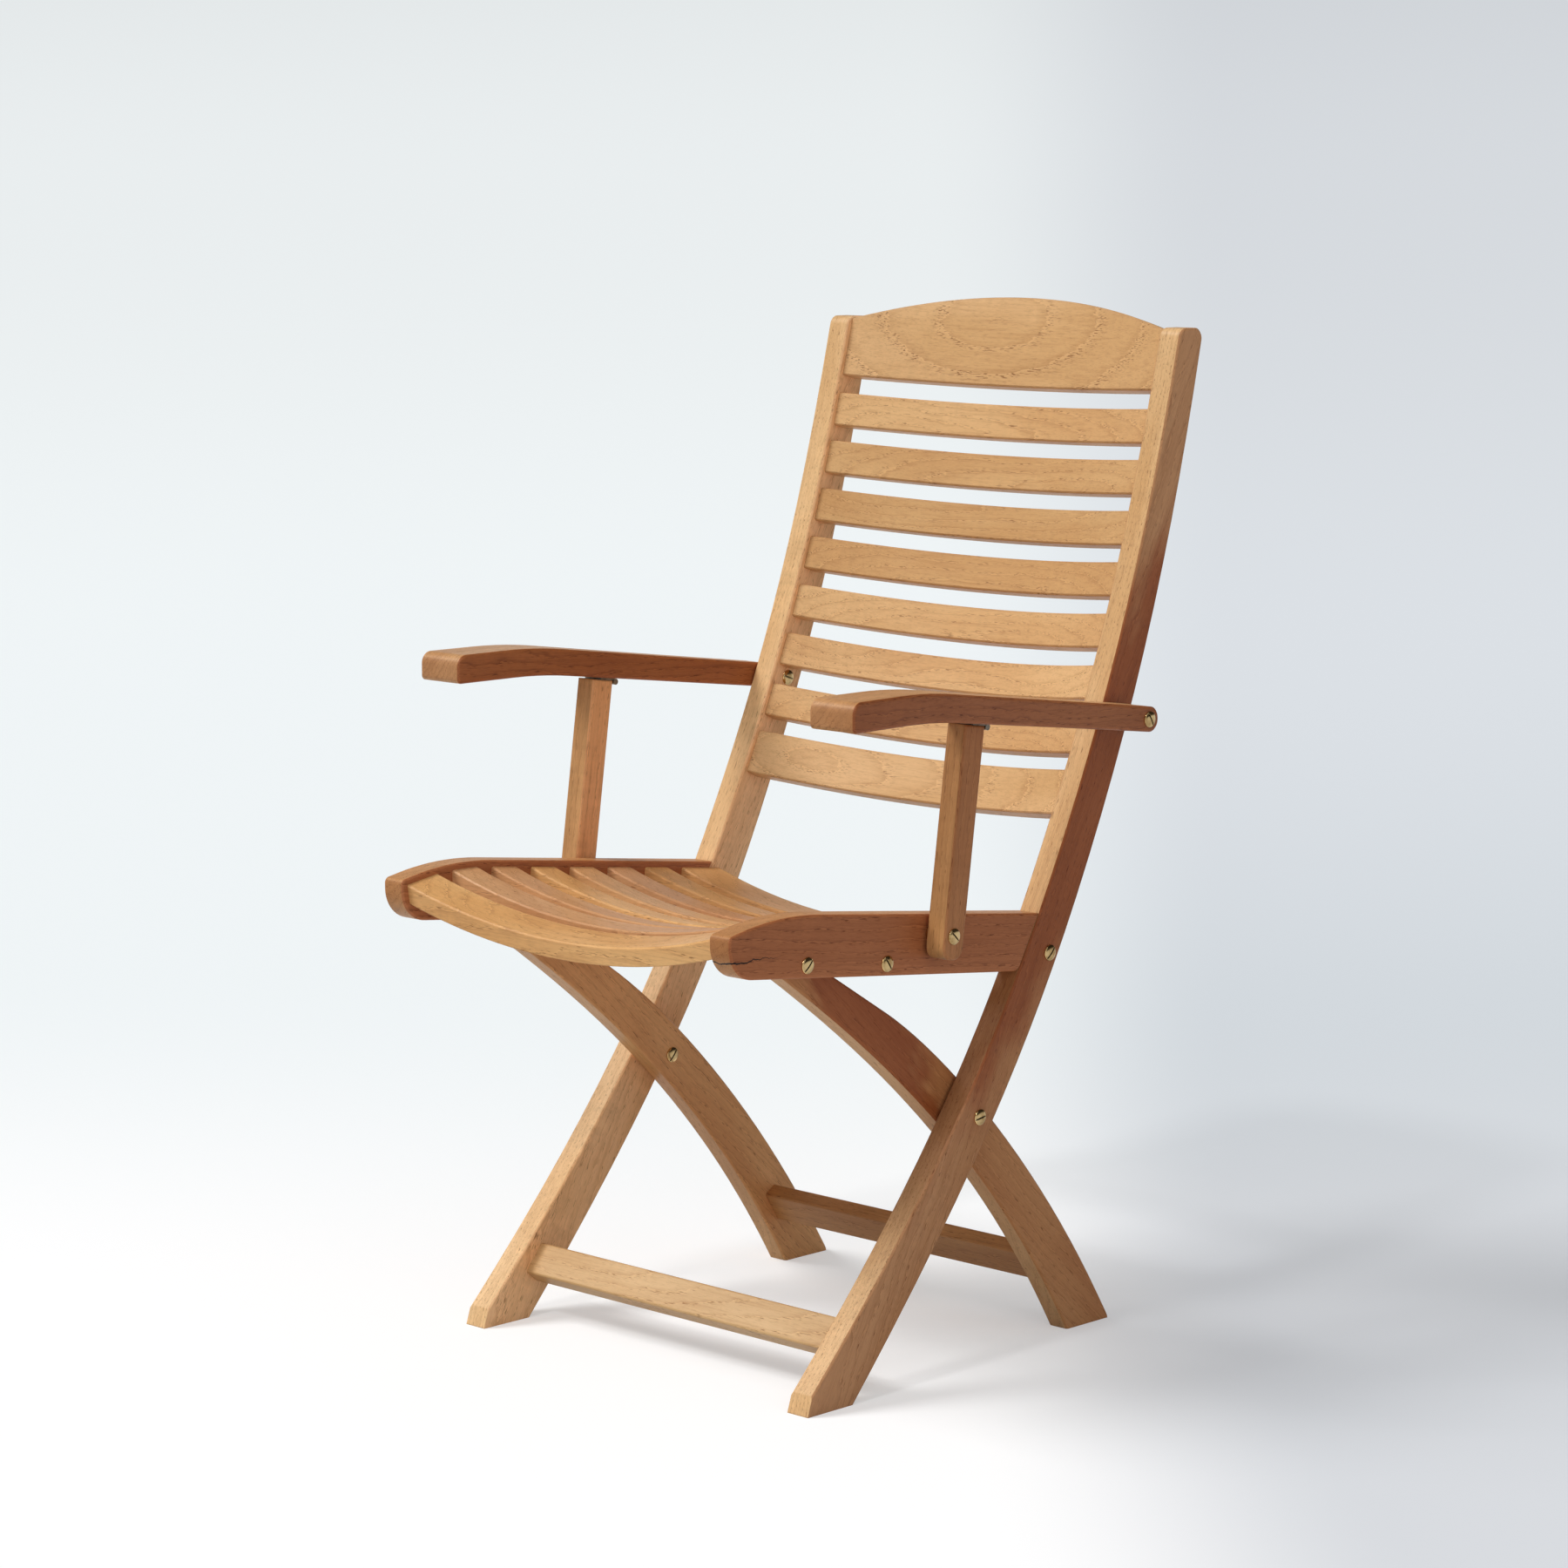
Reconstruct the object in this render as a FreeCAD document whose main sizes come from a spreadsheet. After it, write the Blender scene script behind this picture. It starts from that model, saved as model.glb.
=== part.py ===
import FreeCAD, Part
import Sketcher
import math
import os

# Folding teak armchair with a slatted seat and back, opened out, in millimetres and degrees.
# The front faces -Y, +X is the sitter's left and +Z is up, with the floor at Z 0.
# Outlines are drawn in the side plane from the crossing pivot, so Y 0 in a sketch is that
# pivot's axis, and pivot_y then carries every piece to the middle of the chair's floor area.

SIZES = {
    # Widths, from the middle of the chair outwards.
    "clear_half": 218.5,
    "stile_thick": 27.5,
    "leg_gap": 3.4,
    "leg_thick": 24.4,
    "rail_relief": 0.8,
    "rail_thick": 27.8,
    "arm_gap": 1.5,
    "arm_width": 57.5,
    "tongue_width": 41.5,
    "post_gap": 3.5,
    "post_thick": 24.5,
    # Where the pivots lie in the side plane.
    "pivot_y": -2.0,
    "crossing_z": 256.5,
    "leg_top_y": -246.8,
    "leg_top_z": 442.9,
    "pin_y": -135.8,
    "pin_z": 429.7,
    "strap_bolt_y": 104.2,
    "strap_bolt_z": 409.0,
    "arm_bolt_setback": 26.479,
    "arm_bolt_drop": 58.6,
    "post_bolt_y": -71.4,
    "post_bolt_z": 451.6,
    # Stile: two long curves from a clipped foot to a rounded top.
    "toe_y": -246.5,
    "toe_clip": 20.0,
    "stile_front_start": -240.0,
    "stile_front_low_y": -32.7,
    "stile_front_low_z": 230.0,
    "stile_front_mid_y": 138.1,
    "stile_front_mid_z": 520.0,
    "stile_front_high_y": 246.7,
    "stile_front_high_z": 800.0,
    "stile_front_tilt": 13.28,
    "stile_top_z": 1028.0,
    "heel_y": -181.5,
    "stile_rear_low_y": 16.8,
    "stile_rear_low_z": 220.0,
    "stile_rear_mid_y": 182.5,
    "stile_rear_mid_z": 500.0,
    "stile_rear_high_y": 289.5,
    "stile_rear_high_z": 800.0,
    "stile_rear_tilt": 12.01,
    "stile_top_radius": 11.0,
    # Leg: two gentler curves from a round head at its bolt to the rear foot.
    "leg_head_radius": 15.0,
    "leg_under_high_y": -90.0,
    "leg_under_high_z": 317.5,
    "leg_under_low_y": 60.0,
    "leg_under_low_z": 190.5,
    "leg_foot_front_y": 173.0,
    "leg_foot_rear_y": 237.5,
    "leg_clip_y": 222.0,
    "leg_clip_z": 29.5,
    "leg_heel_y": 236.0,
    "leg_heel_z": 10.0,
    "leg_over_low_y": 110.0,
    "leg_over_low_z": 206.2,
    "leg_over_high_y": -30.0,
    "leg_over_high_z": 327.9,
    "leg_shoulder_share": 0.35,
    "foot_spare": 0.1,
    "clip_spare": 0.27,
    # Seat rail: straight to the rear, crowned and rounded at the nose.
    "rail_rear_z": 451.0,
    "rail_under_rear_z": 396.0,
    "stop_gap": 0.4,
    "seat_slope": 6.94,
    "nose_droop": 11.0,
    "crown_y": -282.3,
    "nose_y": -351.5,
    "rail_under_slope": 6.43,
    "crown_radius": 345.0,
    "nose_upper_radius": 6.0,
    "nose_lower_radius": 34.0,
    "rail_heel_radius": 10.0,
    # Seat slats, dished along their length.
    "seat_slat_width": 34.5,
    "seat_slat_pitch": 54.4,
    "seat_slat_start": -266.9,
    "front_slat_width": 42.0,
    "rear_slat_width": 58.0,
    "seat_slat_thick": 19.0,
    "seat_dish": 31.0,
    "slat_drop": 6.5,
    # Back slats, bowed to the rear, and the crest above them.
    "back_slat_share": 0.71,
    "back_slat_thick": 17.0,
    "top_slat_drop": 98.0,
    "slat_over_bolt": 16.8,
    "slat_under_bolt": 0.2,
    "lower_slat_height": 48.0,
    "lower_slat_gap": 12.3,
    "back_setback": 5.5,
    "crest_drop": 62.0,
    "crest_end_height": 63.5,
    "crest_rise": 33.0,
    "crest_thick": 21.0,
    "crest_bow": 22.0,
    "top_slat_bow": 24.0,
    "full_slat_bow": 38.0,
    "lower_slat_bow": 30.0,
    # Stretchers.
    "front_bar_y": -167.6,
    "front_bar_z": 56.7,
    "front_bar_tilt": 50.8,
    "front_bar_height": 35.6,
    "front_bar_thick": 21.0,
    "rear_bar_y": 158.7,
    "rear_bar_z": 69.0,
    "rear_bar_tilt": -58.1,
    "rear_bar_height": 37.3,
    "rear_bar_thick": 18.0,
    # Armrest, level in front and sloping to its bolt at the rear.
    "arm_nose_y": -247.0,
    "arm_rear_reach": 14.5,
    "arm_top_z": 698.6,
    "arm_thick": 29.3,
    "arm_top_bend_y": -139.0,
    "arm_under_bend_y": -129.0,
    "arm_top_slope": 7.54,
    "arm_under_slope": 7.2,
    "arm_bend_radius": 600.0,
    "arm_nose_radius": 12.0,
    "arm_lip_radius": 5.0,
    "arm_end_share": 0.46,
    "tongue_start_y": 160.0,
    "arm_flare": 5.0,
    # Post under the armrest, with its hinge at the rear top corner.
    "post_behind": 16.147,
    "post_tilt": 7.9,
    "post_depth": 29.0,
    "post_end": 23.6,
    "post_end_radius": 12.5,
    # Hinge between the post and the armrest.
    "leaf_thick": 1.1,
    "leaf_gap": 0.1,
    "leaf_length": 22.0,
    "knuckle_radius": 3.25,
    "knuckle_gap": 0.2,
    "leaf_share": 0.4,
    "hinge_pin_radius": 1.5,
    # Straps and fastenings.
    "strap_width": 25.0,
    "strap_thick": 2.0,
    "strap_gap": 0.3,
    "bolt_radius": 4.0,
    "bolt_head_radius": 8.2,
    "bolt_head_rise": 2.8,
    "bolt_head_top": 5.5,
    "washer_radius": 9.5,
    "running_gap": 0.05,
    # Easing of sawn edges.
    "board_ease": 1.7,
    "slat_ease": 1.5,
    "foot_square_z": 22.0,
}

SEAT_SLATS_BETWEEN = 6
BACK_SLATS = 7
SIDES = (("left", 1), ("right", -1))

# How straight a face or an edge must look sideways to be picked for easing.
SIDEWAYS_SHARE = 0.9
RIGHT_ANGLE = 90
HALVINGS = 50

doc = FreeCAD.newDocument("FoldingArmchair")
sheet = doc.addObject("Spreadsheet::Sheet", "Sizes")
for row, (alias, number) in enumerate(SIZES.items(), 1):
    sheet.set("A%d" % row, alias)
    sheet.set("B%d" % row, str(number))
    sheet.setAlias("B%d" % row, alias)
doc.recompute()


class Size:
    """A size with its number and the expression that ties it to the sheet."""

    def __init__(self, number, text):
        self.number = number
        self.text = text

    def __add__(self, other):
        other = as_size(other)
        return Size(self.number + other.number, "(%s + %s)" % (self.text, other.text))

    def __sub__(self, other):
        other = as_size(other)
        return Size(self.number - other.number, "(%s - %s)" % (self.text, other.text))

    def __mul__(self, other):
        other = as_size(other)
        return Size(self.number * other.number, "(%s * %s)" % (self.text, other.text))

    def __truediv__(self, other):
        other = as_size(other)
        return Size(self.number / other.number, "(%s / %s)" % (self.text, other.text))

    def __neg__(self):
        return Size(-self.number, "(0 - %s)" % self.text)


def as_size(value):
    """A plain number as a size."""
    if isinstance(value, Size):
        return value
    return Size(float(value), "(%.9f)" % value)


def cosine(angle):
    return Size(math.cos(math.radians(angle.number)), "cos(%s)" % angle.text)


def sine(angle):
    return Size(math.sin(math.radians(angle.number)), "sin(%s)" % angle.text)


def tangent(angle):
    return Size(math.tan(math.radians(angle.number)), "tan(%s)" % angle.text)


def root(square):
    return Size(math.sqrt(square.number), "sqrt(%s)" % square.text)


def get(alias):
    """The size that the sheet holds under an alias."""
    return Size(float(sheet.get(alias)), "Sizes.%s" % alias)


# The drawing tools: an outline is a list of runs, each given by its kind and its start.

def line(start):
    return ("line", start, ())


def curve(start, *poles):
    return ("curve", start, poles)


def arc(start, radius, turn):
    """A round stretch under half a circle; turn is 1 to the left and -1 to the right."""
    return ("arc", start, (radius, turn))


def vector(point):
    return FreeCAD.Vector(point[0].number, point[1].number, 0)


def arc_geometry(start, end, radius, turn):
    """The arc between two points that turns to the left or to the right on its way."""
    chord = end - start
    reach = math.sqrt(max(radius ** 2 - (chord.Length / 2) ** 2, 0.0))
    side = FreeCAD.Vector(-chord.y, chord.x, 0).normalize() * (turn * reach)
    centre = (start + end) * 0.5 + side
    first, last = (start, end) if turn > 0 else (end, start)
    angles = [math.atan2(p.y - centre.y, p.x - centre.x) for p in (first, last)]
    circle = Part.Circle(centre, FreeCAD.Vector(0, 0, 1), radius)
    return Part.ArcOfCircle(circle, angles[0], angles[1])


def tie(sketch, geometry, position, point):
    """Ties a point of the sketch to the sheet by its distances from the origin."""
    for kind, size in zip(("DistanceX", "DistanceY"), point):
        index = sketch.addConstraint(
            Sketcher.Constraint(kind, -1, 1, geometry, position, size.number))
        sketch.setExpression("Constraints[%d]" % index, size.text)


def draw_outline(sketch, runs):
    """Draws a closed outline and ties each corner, pole and radius to the sheet."""
    ends = []
    for number, (kind, start, extra) in enumerate(runs):
        finish = runs[(number + 1) % len(runs)][1]
        if kind == "line":
            index = sketch.addGeometry(Part.LineSegment(vector(start), vector(finish)), False)
            ends.append((index, 1, 2))
        elif kind == "arc":
            radius, turn = extra
            shape = arc_geometry(vector(start), vector(finish), radius.number, turn)
            index = sketch.addGeometry(shape, False)
            ends.append((index, 1, 2) if turn > 0 else (index, 2, 1))
            rule = sketch.addConstraint(Sketcher.Constraint("Radius", index, radius.number))
            sketch.setExpression("Constraints[%d]" % rule, radius.text)
        else:
            poles = [start] + list(extra) + [finish]
            spline = Part.BSplineCurve()
            spline.buildFromPoles([vector(p) for p in poles], False, 3)
            index = sketch.addGeometry(spline, False)
            sketch.exposeInternalGeometry(index)
            ends.append((index, 1, 2))
            for step, pole in enumerate(extra, 2):
                tie(sketch, index + step, 3, pole)
        tie(sketch, ends[-1][0], ends[-1][1], start)
    for number, (index, first, last) in enumerate(ends):
        nxt = ends[(number + 1) % len(ends)]
        sketch.addConstraint(Sketcher.Constraint("Coincident", index, last, nxt[0], nxt[1]))


def draw_circle(sketch, centre, radius):
    circle = Part.Circle(vector(centre), FreeCAD.Vector(0, 0, 1), radius.number)
    index = sketch.addGeometry(circle, False)
    tie(sketch, index, 3, centre)
    rule = sketch.addConstraint(Sketcher.Constraint("Radius", index, radius.number))
    sketch.setExpression("Constraints[%d]" % rule, radius.text)


# The feature tools, each making one object of the document.

def new_body(name, several=False):
    body = doc.addObject("PartDesign::Body", name)
    body.Label = name
    body.AllowCompound = several
    return body


def new_sketch(body, name, role, offset=None):
    """A sketch on one of the body's own planes, moved along its normal by the offset."""
    sketch = body.newObject("Sketcher::SketchObject", name)
    plane = [f for f in body.Origin.OriginFeatures if f.Role == role][0]
    sketch.AttachmentSupport = [(plane, "")]
    sketch.MapMode = "FlatFace"
    if offset is not None:
        sketch.setExpression(".AttachmentOffset.Base.z", offset.text)
    return sketch


def pad(body, sketch, length, symmetric=False):
    feature = body.newObject("PartDesign::Pad", sketch.Name + "_pad")
    feature.Profile = sketch
    feature.setExpression("Length", length.text)
    feature.Midplane = symmetric
    sketch.Visibility = False
    body.Tip = feature
    return feature


def revolve(body, sketch):
    feature = body.newObject("PartDesign::Revolution", sketch.Name + "_turned")
    feature.Profile = sketch
    feature.ReferenceAxis = (sketch, ["H_Axis"])
    feature.Angle = 360
    body.Tip = feature
    return feature


def mirror_across(body, feature):
    """Repeats a feature on the other side of the chair's middle plane."""
    copy = body.newObject("PartDesign::Mirrored", feature.Name + "_pair")
    plane = [f for f in body.Origin.OriginFeatures if f.Role == "YZ_Plane"][0]
    copy.Originals = [feature]
    copy.MirrorPlane = (plane, [""])
    body.Tip = copy
    return copy


def edge_names(shape, edges):
    names = []
    for edge in edges:
        for number, known in enumerate(shape.Edges, 1):
            if known.isSame(edge):
                names.append("Edge%d" % number)
    return names


def round_edges(body, base, choose, radius, name):
    """Rounds the edges that a rule picks from the finished base."""
    doc.recompute()
    names = edge_names(base.Shape, choose(base.Shape))
    feature = body.newObject("PartDesign::Fillet", body.Name + "_" + name)
    feature.Base = (base, names)
    feature.setExpression("Radius", radius.text)
    body.Tip = feature
    return feature


def ease_edges(body, base, choose, size):
    """Planes off the edges that a rule picks from the finished base."""
    doc.recompute()
    names = edge_names(base.Shape, choose(base.Shape))
    feature = body.newObject("PartDesign::Chamfer", body.Name + "_eased")
    feature.Base = (base, names)
    feature.setExpression("Size", size.text)
    body.Tip = feature
    return feature


def side_rims(shape):
    """The outer edges of the faces that look sideways, but not those of a foot's square end."""
    rims = []
    for face in shape.Faces:
        low_u, high_u, low_v, high_v = face.ParameterRange
        if abs(face.normalAt((low_u + high_u) / 2, (low_v + high_v) / 2).x) > SIDEWAYS_SHARE:
            rims.extend(face.OuterWire.Edges)
    single = [e for e in rims if sum(1 for other in rims if other.isSame(e)) == 1]
    return [e for e in single if e.CenterOfMass.z > SIZES["foot_square_z"]]


def long_edges(shape):
    """The edges that run from one side of the chair to the other."""
    reach = shape.BoundBox.XLength
    return [e for e in shape.Edges if e.BoundBox.XLength > SIDEWAYS_SHARE * reach]


def hollow_edges(shape):
    """Those of a slat's long edges that the sitter touches, on its hollow side."""
    edges = long_edges(shape)
    lows = [e.BoundBox.ZMin for e in edges]
    middle = (min(lows) + max(lows)) / 2
    return [e for e, low in zip(edges, lows) if low > middle]


def across_near(y, z):
    """A rule that picks the crosswise edge nearest to a point of the side plane."""
    def choose(shape):
        crosswise = [e for e in shape.Edges
                     if e.BoundBox.XLength > max(e.BoundBox.YLength, e.BoundBox.ZLength)]
        away = [math.hypot(e.CenterOfMass.y - y, e.CenterOfMass.z - z) for e in crosswise]
        return [crosswise[away.index(min(away))]]
    return choose


def settle(body, y=0.0, z=0.0, tilt=0.0):
    """Sets the piece in the chair: from the crossing pivot's plane, turned about X."""
    turn = FreeCAD.Rotation(FreeCAD.Vector(1, 0, 0), tilt)
    body.Placement = FreeCAD.Placement(FreeCAD.Vector(0, y, z), turn)
    body.setExpression(".Placement.Base.y", "Sizes.pivot_y + %.9f" % y)


# Places that several pieces share.

ZERO = as_size(0)
CROSSING = (ZERO, get("crossing_z"))
LEG_TOP = (get("leg_top_y"), get("leg_top_z"))
PIN = (get("pin_y"), get("pin_z"))
STRAP_BOLT = (get("strap_bolt_y"), get("strap_bolt_z"))
POST_BOLT = (get("post_bolt_y"), get("post_bolt_z"))

STILE_OUTER = get("clear_half") + get("stile_thick")
LEG_OUTER = get("clear_half") - get("leg_gap")
LEG_INNER = LEG_OUTER - get("leg_thick")
RAIL_INNER = get("clear_half") - get("rail_relief")
RAIL_OUTER = RAIL_INNER + get("rail_thick")
ARM_INNER = STILE_OUTER + get("arm_gap")
POST_INNER = STILE_OUTER + get("post_gap")
BORE = get("bolt_radius") + get("running_gap")


def stile_corner(face, turn):
    """The stile's top corner in front or behind, and how far its rounding reaches from it."""
    tilt = get("stile_%s_tilt" % face)
    rise = get("stile_top_z") - get("stile_%s_high_z" % face)
    reach = get("stile_top_radius") * tangent((as_size(RIGHT_ANGLE) + tilt * turn) / 2)
    return get("stile_%s_high_y" % face) + rise * tangent(tilt), reach


def stile_edge_end(face, turn):
    """Where the stile's front or rear edge gives way to the rounding of its top."""
    y, reach = stile_corner(face, turn)
    tilt = get("stile_%s_tilt" % face)
    return (y - reach * sine(tilt), get("stile_top_z") - reach * cosine(tilt))


def stile_top_end(face, turn):
    """Where the stile's level top gives way to its rounding."""
    y, reach = stile_corner(face, turn)
    return (y - reach * turn, get("stile_top_z"))


STILE_FRONT = [
    (get("stile_front_start"), get("toe_clip")),
    (get("stile_front_low_y"), get("stile_front_low_z")),
    (get("stile_front_mid_y"), get("stile_front_mid_z")),
    (get("stile_front_high_y"), get("stile_front_high_z")),
    stile_edge_end("front", -1),
]


def stile_front_at(height):
    """The place and the slope of the stile's front edge at a height above the floor."""
    spline = Part.BSplineCurve()
    spline.buildFromPoles([vector(p) for p in STILE_FRONT], False, 3)
    low, high = 0.0, 1.0
    for _ in range(HALVINGS):
        middle = (low + high) / 2
        if spline.value(middle).y < height:
            low = middle
        else:
            high = middle
    along = spline.tangent(low)[0]
    return spline.value(low).x, math.degrees(math.atan2(along.y, along.x))


ARM_BOLT_Z = get("arm_top_z") - get("arm_bolt_drop")
ARM_BOLT = (as_size(stile_front_at(ARM_BOLT_Z.number)[0]) + get("arm_bolt_setback"), ARM_BOLT_Z)
ARM_REAR = ARM_BOLT[0] + get("arm_rear_reach")
CREST_Z = get("stile_top_z") - get("crest_drop")
ARM_UNDER = get("arm_top_z") - get("arm_thick")


def board(name, side, runs, bores, inner, thick):
    """A sawn board: its side outline with its bores, as thick as its stock."""
    body = new_body(name)
    offset = inner if side > 0 else -(inner + thick)
    sketch = new_sketch(body, name + "_outline", "YZ_Plane", offset)
    draw_outline(sketch, runs)
    for centre, radius in bores:
        draw_circle(sketch, centre, radius)
    return body, pad(body, sketch, thick)


def make_stile(word, side):
    """The long board from the front foot to the crest."""
    runs = [
        line((get("heel_y"), ZERO)),
        line((get("toe_y"), ZERO)),
        curve(*STILE_FRONT[:-1]),
        arc(STILE_FRONT[-1], get("stile_top_radius"), -1),
        line(stile_top_end("front", -1)),
        arc(stile_top_end("rear", 1), get("stile_top_radius"), -1),
        curve(stile_edge_end("rear", 1),
              (get("stile_rear_high_y"), get("stile_rear_high_z")),
              (get("stile_rear_mid_y"), get("stile_rear_mid_z")),
              (get("stile_rear_low_y"), get("stile_rear_low_z"))),
    ]
    bores = [(CROSSING, BORE), (STRAP_BOLT, BORE), (ARM_BOLT, BORE)]
    name = "stile_" + word
    body, base = board(name, side, runs, bores, get("clear_half"), get("stile_thick"))
    ease_edges(body, base, side_rims, get("board_ease"))
    settle(body)
    return body


def touch_point(centre, radius, outside, turn):
    """Where a line from a point outside a circle touches it, to the left or to the right."""
    across, up = outside[0] - centre[0], outside[1] - centre[1]
    square = across * across + up * up
    along = radius * radius / square
    aside = radius * root(square - radius * radius) / square * turn
    return (centre[0] + across * along - up * aside, centre[1] + up * along + across * aside)


def past(start, end, share):
    """The point beyond the end of a line, by a share of the line's length."""
    return (end[0] + (end[0] - start[0]) * share, end[1] + (end[1] - start[1]) * share)


def make_leg(word, side):
    """The board that crosses inside the stile, from the seat rail to the rear foot."""
    radius = get("leg_head_radius")
    below = (get("leg_under_high_y"), get("leg_under_high_z"))
    under_low = (get("leg_under_low_y"), get("leg_under_low_z"))
    foot = (get("leg_foot_front_y"), ZERO)
    clip = (get("leg_clip_y"), get("leg_clip_z"))
    over_low = (get("leg_over_low_y"), get("leg_over_low_z"))
    above = (get("leg_over_high_y"), get("leg_over_high_z"))
    over = touch_point(LEG_TOP, radius, above, 1)
    runs = [
        curve(touch_point(LEG_TOP, radius, below, -1), below, under_low),
        line(foot),
        line(past(under_low, foot, get("foot_spare"))),
        line(past(over_low, clip, get("clip_spare"))),
        curve(clip, over_low, above),
        line(past(over, above, -get("leg_shoulder_share"))),
        arc(over, radius, 1),
    ]
    name = "leg_" + word
    bores = [(CROSSING, BORE), (LEG_TOP, BORE)]
    body, base = board(name, side, runs, bores, LEG_INNER, get("leg_thick"))
    ease_edges(body, base, side_rims, get("board_ease"))
    level_foot(body, name, foot, clip)
    settle(body)
    return body


def level_foot(body, name, foot, clip):
    """Cuts the leg level at the floor, and its rear corner off at a slant."""
    rear_y = get("leg_foot_rear_y")
    reach = rear_y - foot[0]
    corners = [
        (foot[0] - reach, ZERO),
        (rear_y, ZERO),
        (get("leg_heel_y"), get("leg_heel_z")),
        clip,
        (rear_y + reach, clip[1]),
        (rear_y + reach, -reach),
        (foot[0] - reach, -reach),
    ]
    sketch = new_sketch(body, name + "_foot", "YZ_Plane")
    draw_outline(sketch, [line(c) for c in corners])
    cut = body.newObject("PartDesign::Pocket", name + "_foot_cut")
    cut.Profile = sketch
    cut.Type = "ThroughAll"
    cut.Midplane = True
    body.Tip = cut


def rail_corners():
    """The corners of the seat rail before its nose and crown are rounded."""
    rear_y = as_size(stile_front_at(SIZES["rail_rear_z"])[0]) - get("stop_gap")
    heel_y = as_size(stile_front_at(SIZES["rail_under_rear_z"])[0]) - get("stop_gap")
    rear = (rear_y, get("rail_rear_z"))
    heel = (heel_y, get("rail_under_rear_z"))
    crown = (get("crown_y"), rear[1] + (rear[0] - get("crown_y")) * tangent(get("seat_slope")))
    tip = (get("nose_y"), crown[1] - (crown[0] - get("nose_y")) * tangent(get("nose_droop")))
    chin_z = heel[1] + (heel[0] - get("nose_y")) * tangent(get("rail_under_slope"))
    chin = (get("nose_y"), chin_z)
    return rear, crown, tip, chin, heel


def make_seat_rail(word, side):
    """The side rail of the seat: its rear end stops against the stile's front edge."""
    corners = rail_corners()
    bores = [(LEG_TOP, BORE), (PIN, BORE)]
    body, base = board("seat_rail_" + word, side, [line(c) for c in corners], bores,
                       RAIL_INNER, get("rail_thick"))
    radii = ("crown_radius", "nose_upper_radius", "nose_lower_radius", "rail_heel_radius")
    for corner, radius in zip(corners[1:], radii):
        rule = across_near(corner[0].number, corner[1].number)
        base = round_edges(body, base, rule, get(radius), radius[:-7])
    ease_edges(body, base, side_rims, get("board_ease"))
    settle(body)
    return body


def rail_top_at(y):
    """The height and slope of the rail's top at a place along it, and the way out of it."""
    rear, crown = rail_corners()[:2]
    slope = SIZES["seat_slope"]
    turn = slope + SIZES["nose_droop"]
    reach = SIZES["crown_radius"] * math.tan(math.radians(turn / 2))
    down = FreeCAD.Vector(math.cos(math.radians(slope)), -math.sin(math.radians(slope)), 0)
    start = vector(crown) + down * reach
    out = FreeCAD.Vector(-down.y, down.x, 0)
    if y > start.x:
        height = rear[1].number + (rear[0].number - y) * math.tan(math.radians(slope))
        return FreeCAD.Vector(y, height, 0), out, -slope
    centre = start - out * SIZES["crown_radius"]
    lean = math.asin((y - centre.x) / SIZES["crown_radius"])
    out = FreeCAD.Vector(math.sin(lean), math.cos(lean), 0)
    return centre + out * SIZES["crown_radius"], out, -math.degrees(lean)


def bowed_slat(name, half, bow, thick, width):
    """A slat bent to an arc along its length, with the hollow side up in its own frame."""
    body = new_body(name)
    sketch = new_sketch(body, name + "_bend", "XZ_Plane")
    hollow = (half * half + bow * bow) / (bow * 2)
    inner = hollow.number
    outer = hollow + thick
    fall = outer.number - math.sqrt(outer.number ** 2 - half.number ** 2)
    drop = as_size(bow.number + thick.number - fall)
    runs = [
        arc((-half, ZERO), hollow, 1),
        line((half, ZERO)),
        arc((half, -drop), outer, -1),
        line((-half, -drop)),
    ]
    draw_outline(sketch, runs)
    return body, pad(body, sketch, width, True)


def make_seat_slats():
    """The seat: a wider slat at the nose, equal slats behind it and a broad one at the rear."""
    width, gap = SIZES["seat_slat_width"], SIZES["seat_slat_pitch"] - SIZES["seat_slat_width"]
    centres = [SIZES["seat_slat_start"] + SIZES["seat_slat_pitch"] * step
               for step in range(SEAT_SLATS_BETWEEN)]
    front = centres[0] - width / 2 - gap - SIZES["front_slat_width"] / 2
    rear = centres[-1] + width / 2 + gap + SIZES["rear_slat_width"] / 2
    rows = [(front, "front_slat_width")]
    rows += [(y, "seat_slat_width") for y in centres]
    rows.append((rear, "rear_slat_width"))
    slats = []
    for number, (y, alias) in enumerate(rows, 1):
        body, base = bowed_slat("seat_slat_%d" % number, RAIL_INNER, get("seat_dish"),
                                get("seat_slat_thick"), get(alias))
        ease_edges(body, base, hollow_edges, get("slat_ease"))
        point, out, tilt = rail_top_at(y)
        seat = point - out * SIZES["slat_drop"]
        settle(body, seat.x, seat.y, tilt)
        slats.append(body)
    return slats


def back_seat(height):
    """Where a slat of the back lies: set back from the stile's front edge, along its slope."""
    y, slope = stile_front_at(height)
    lean = math.radians(slope)
    back = SIZES["back_setback"]
    return y + back * math.sin(lean), height - back * math.cos(lean), slope


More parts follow.
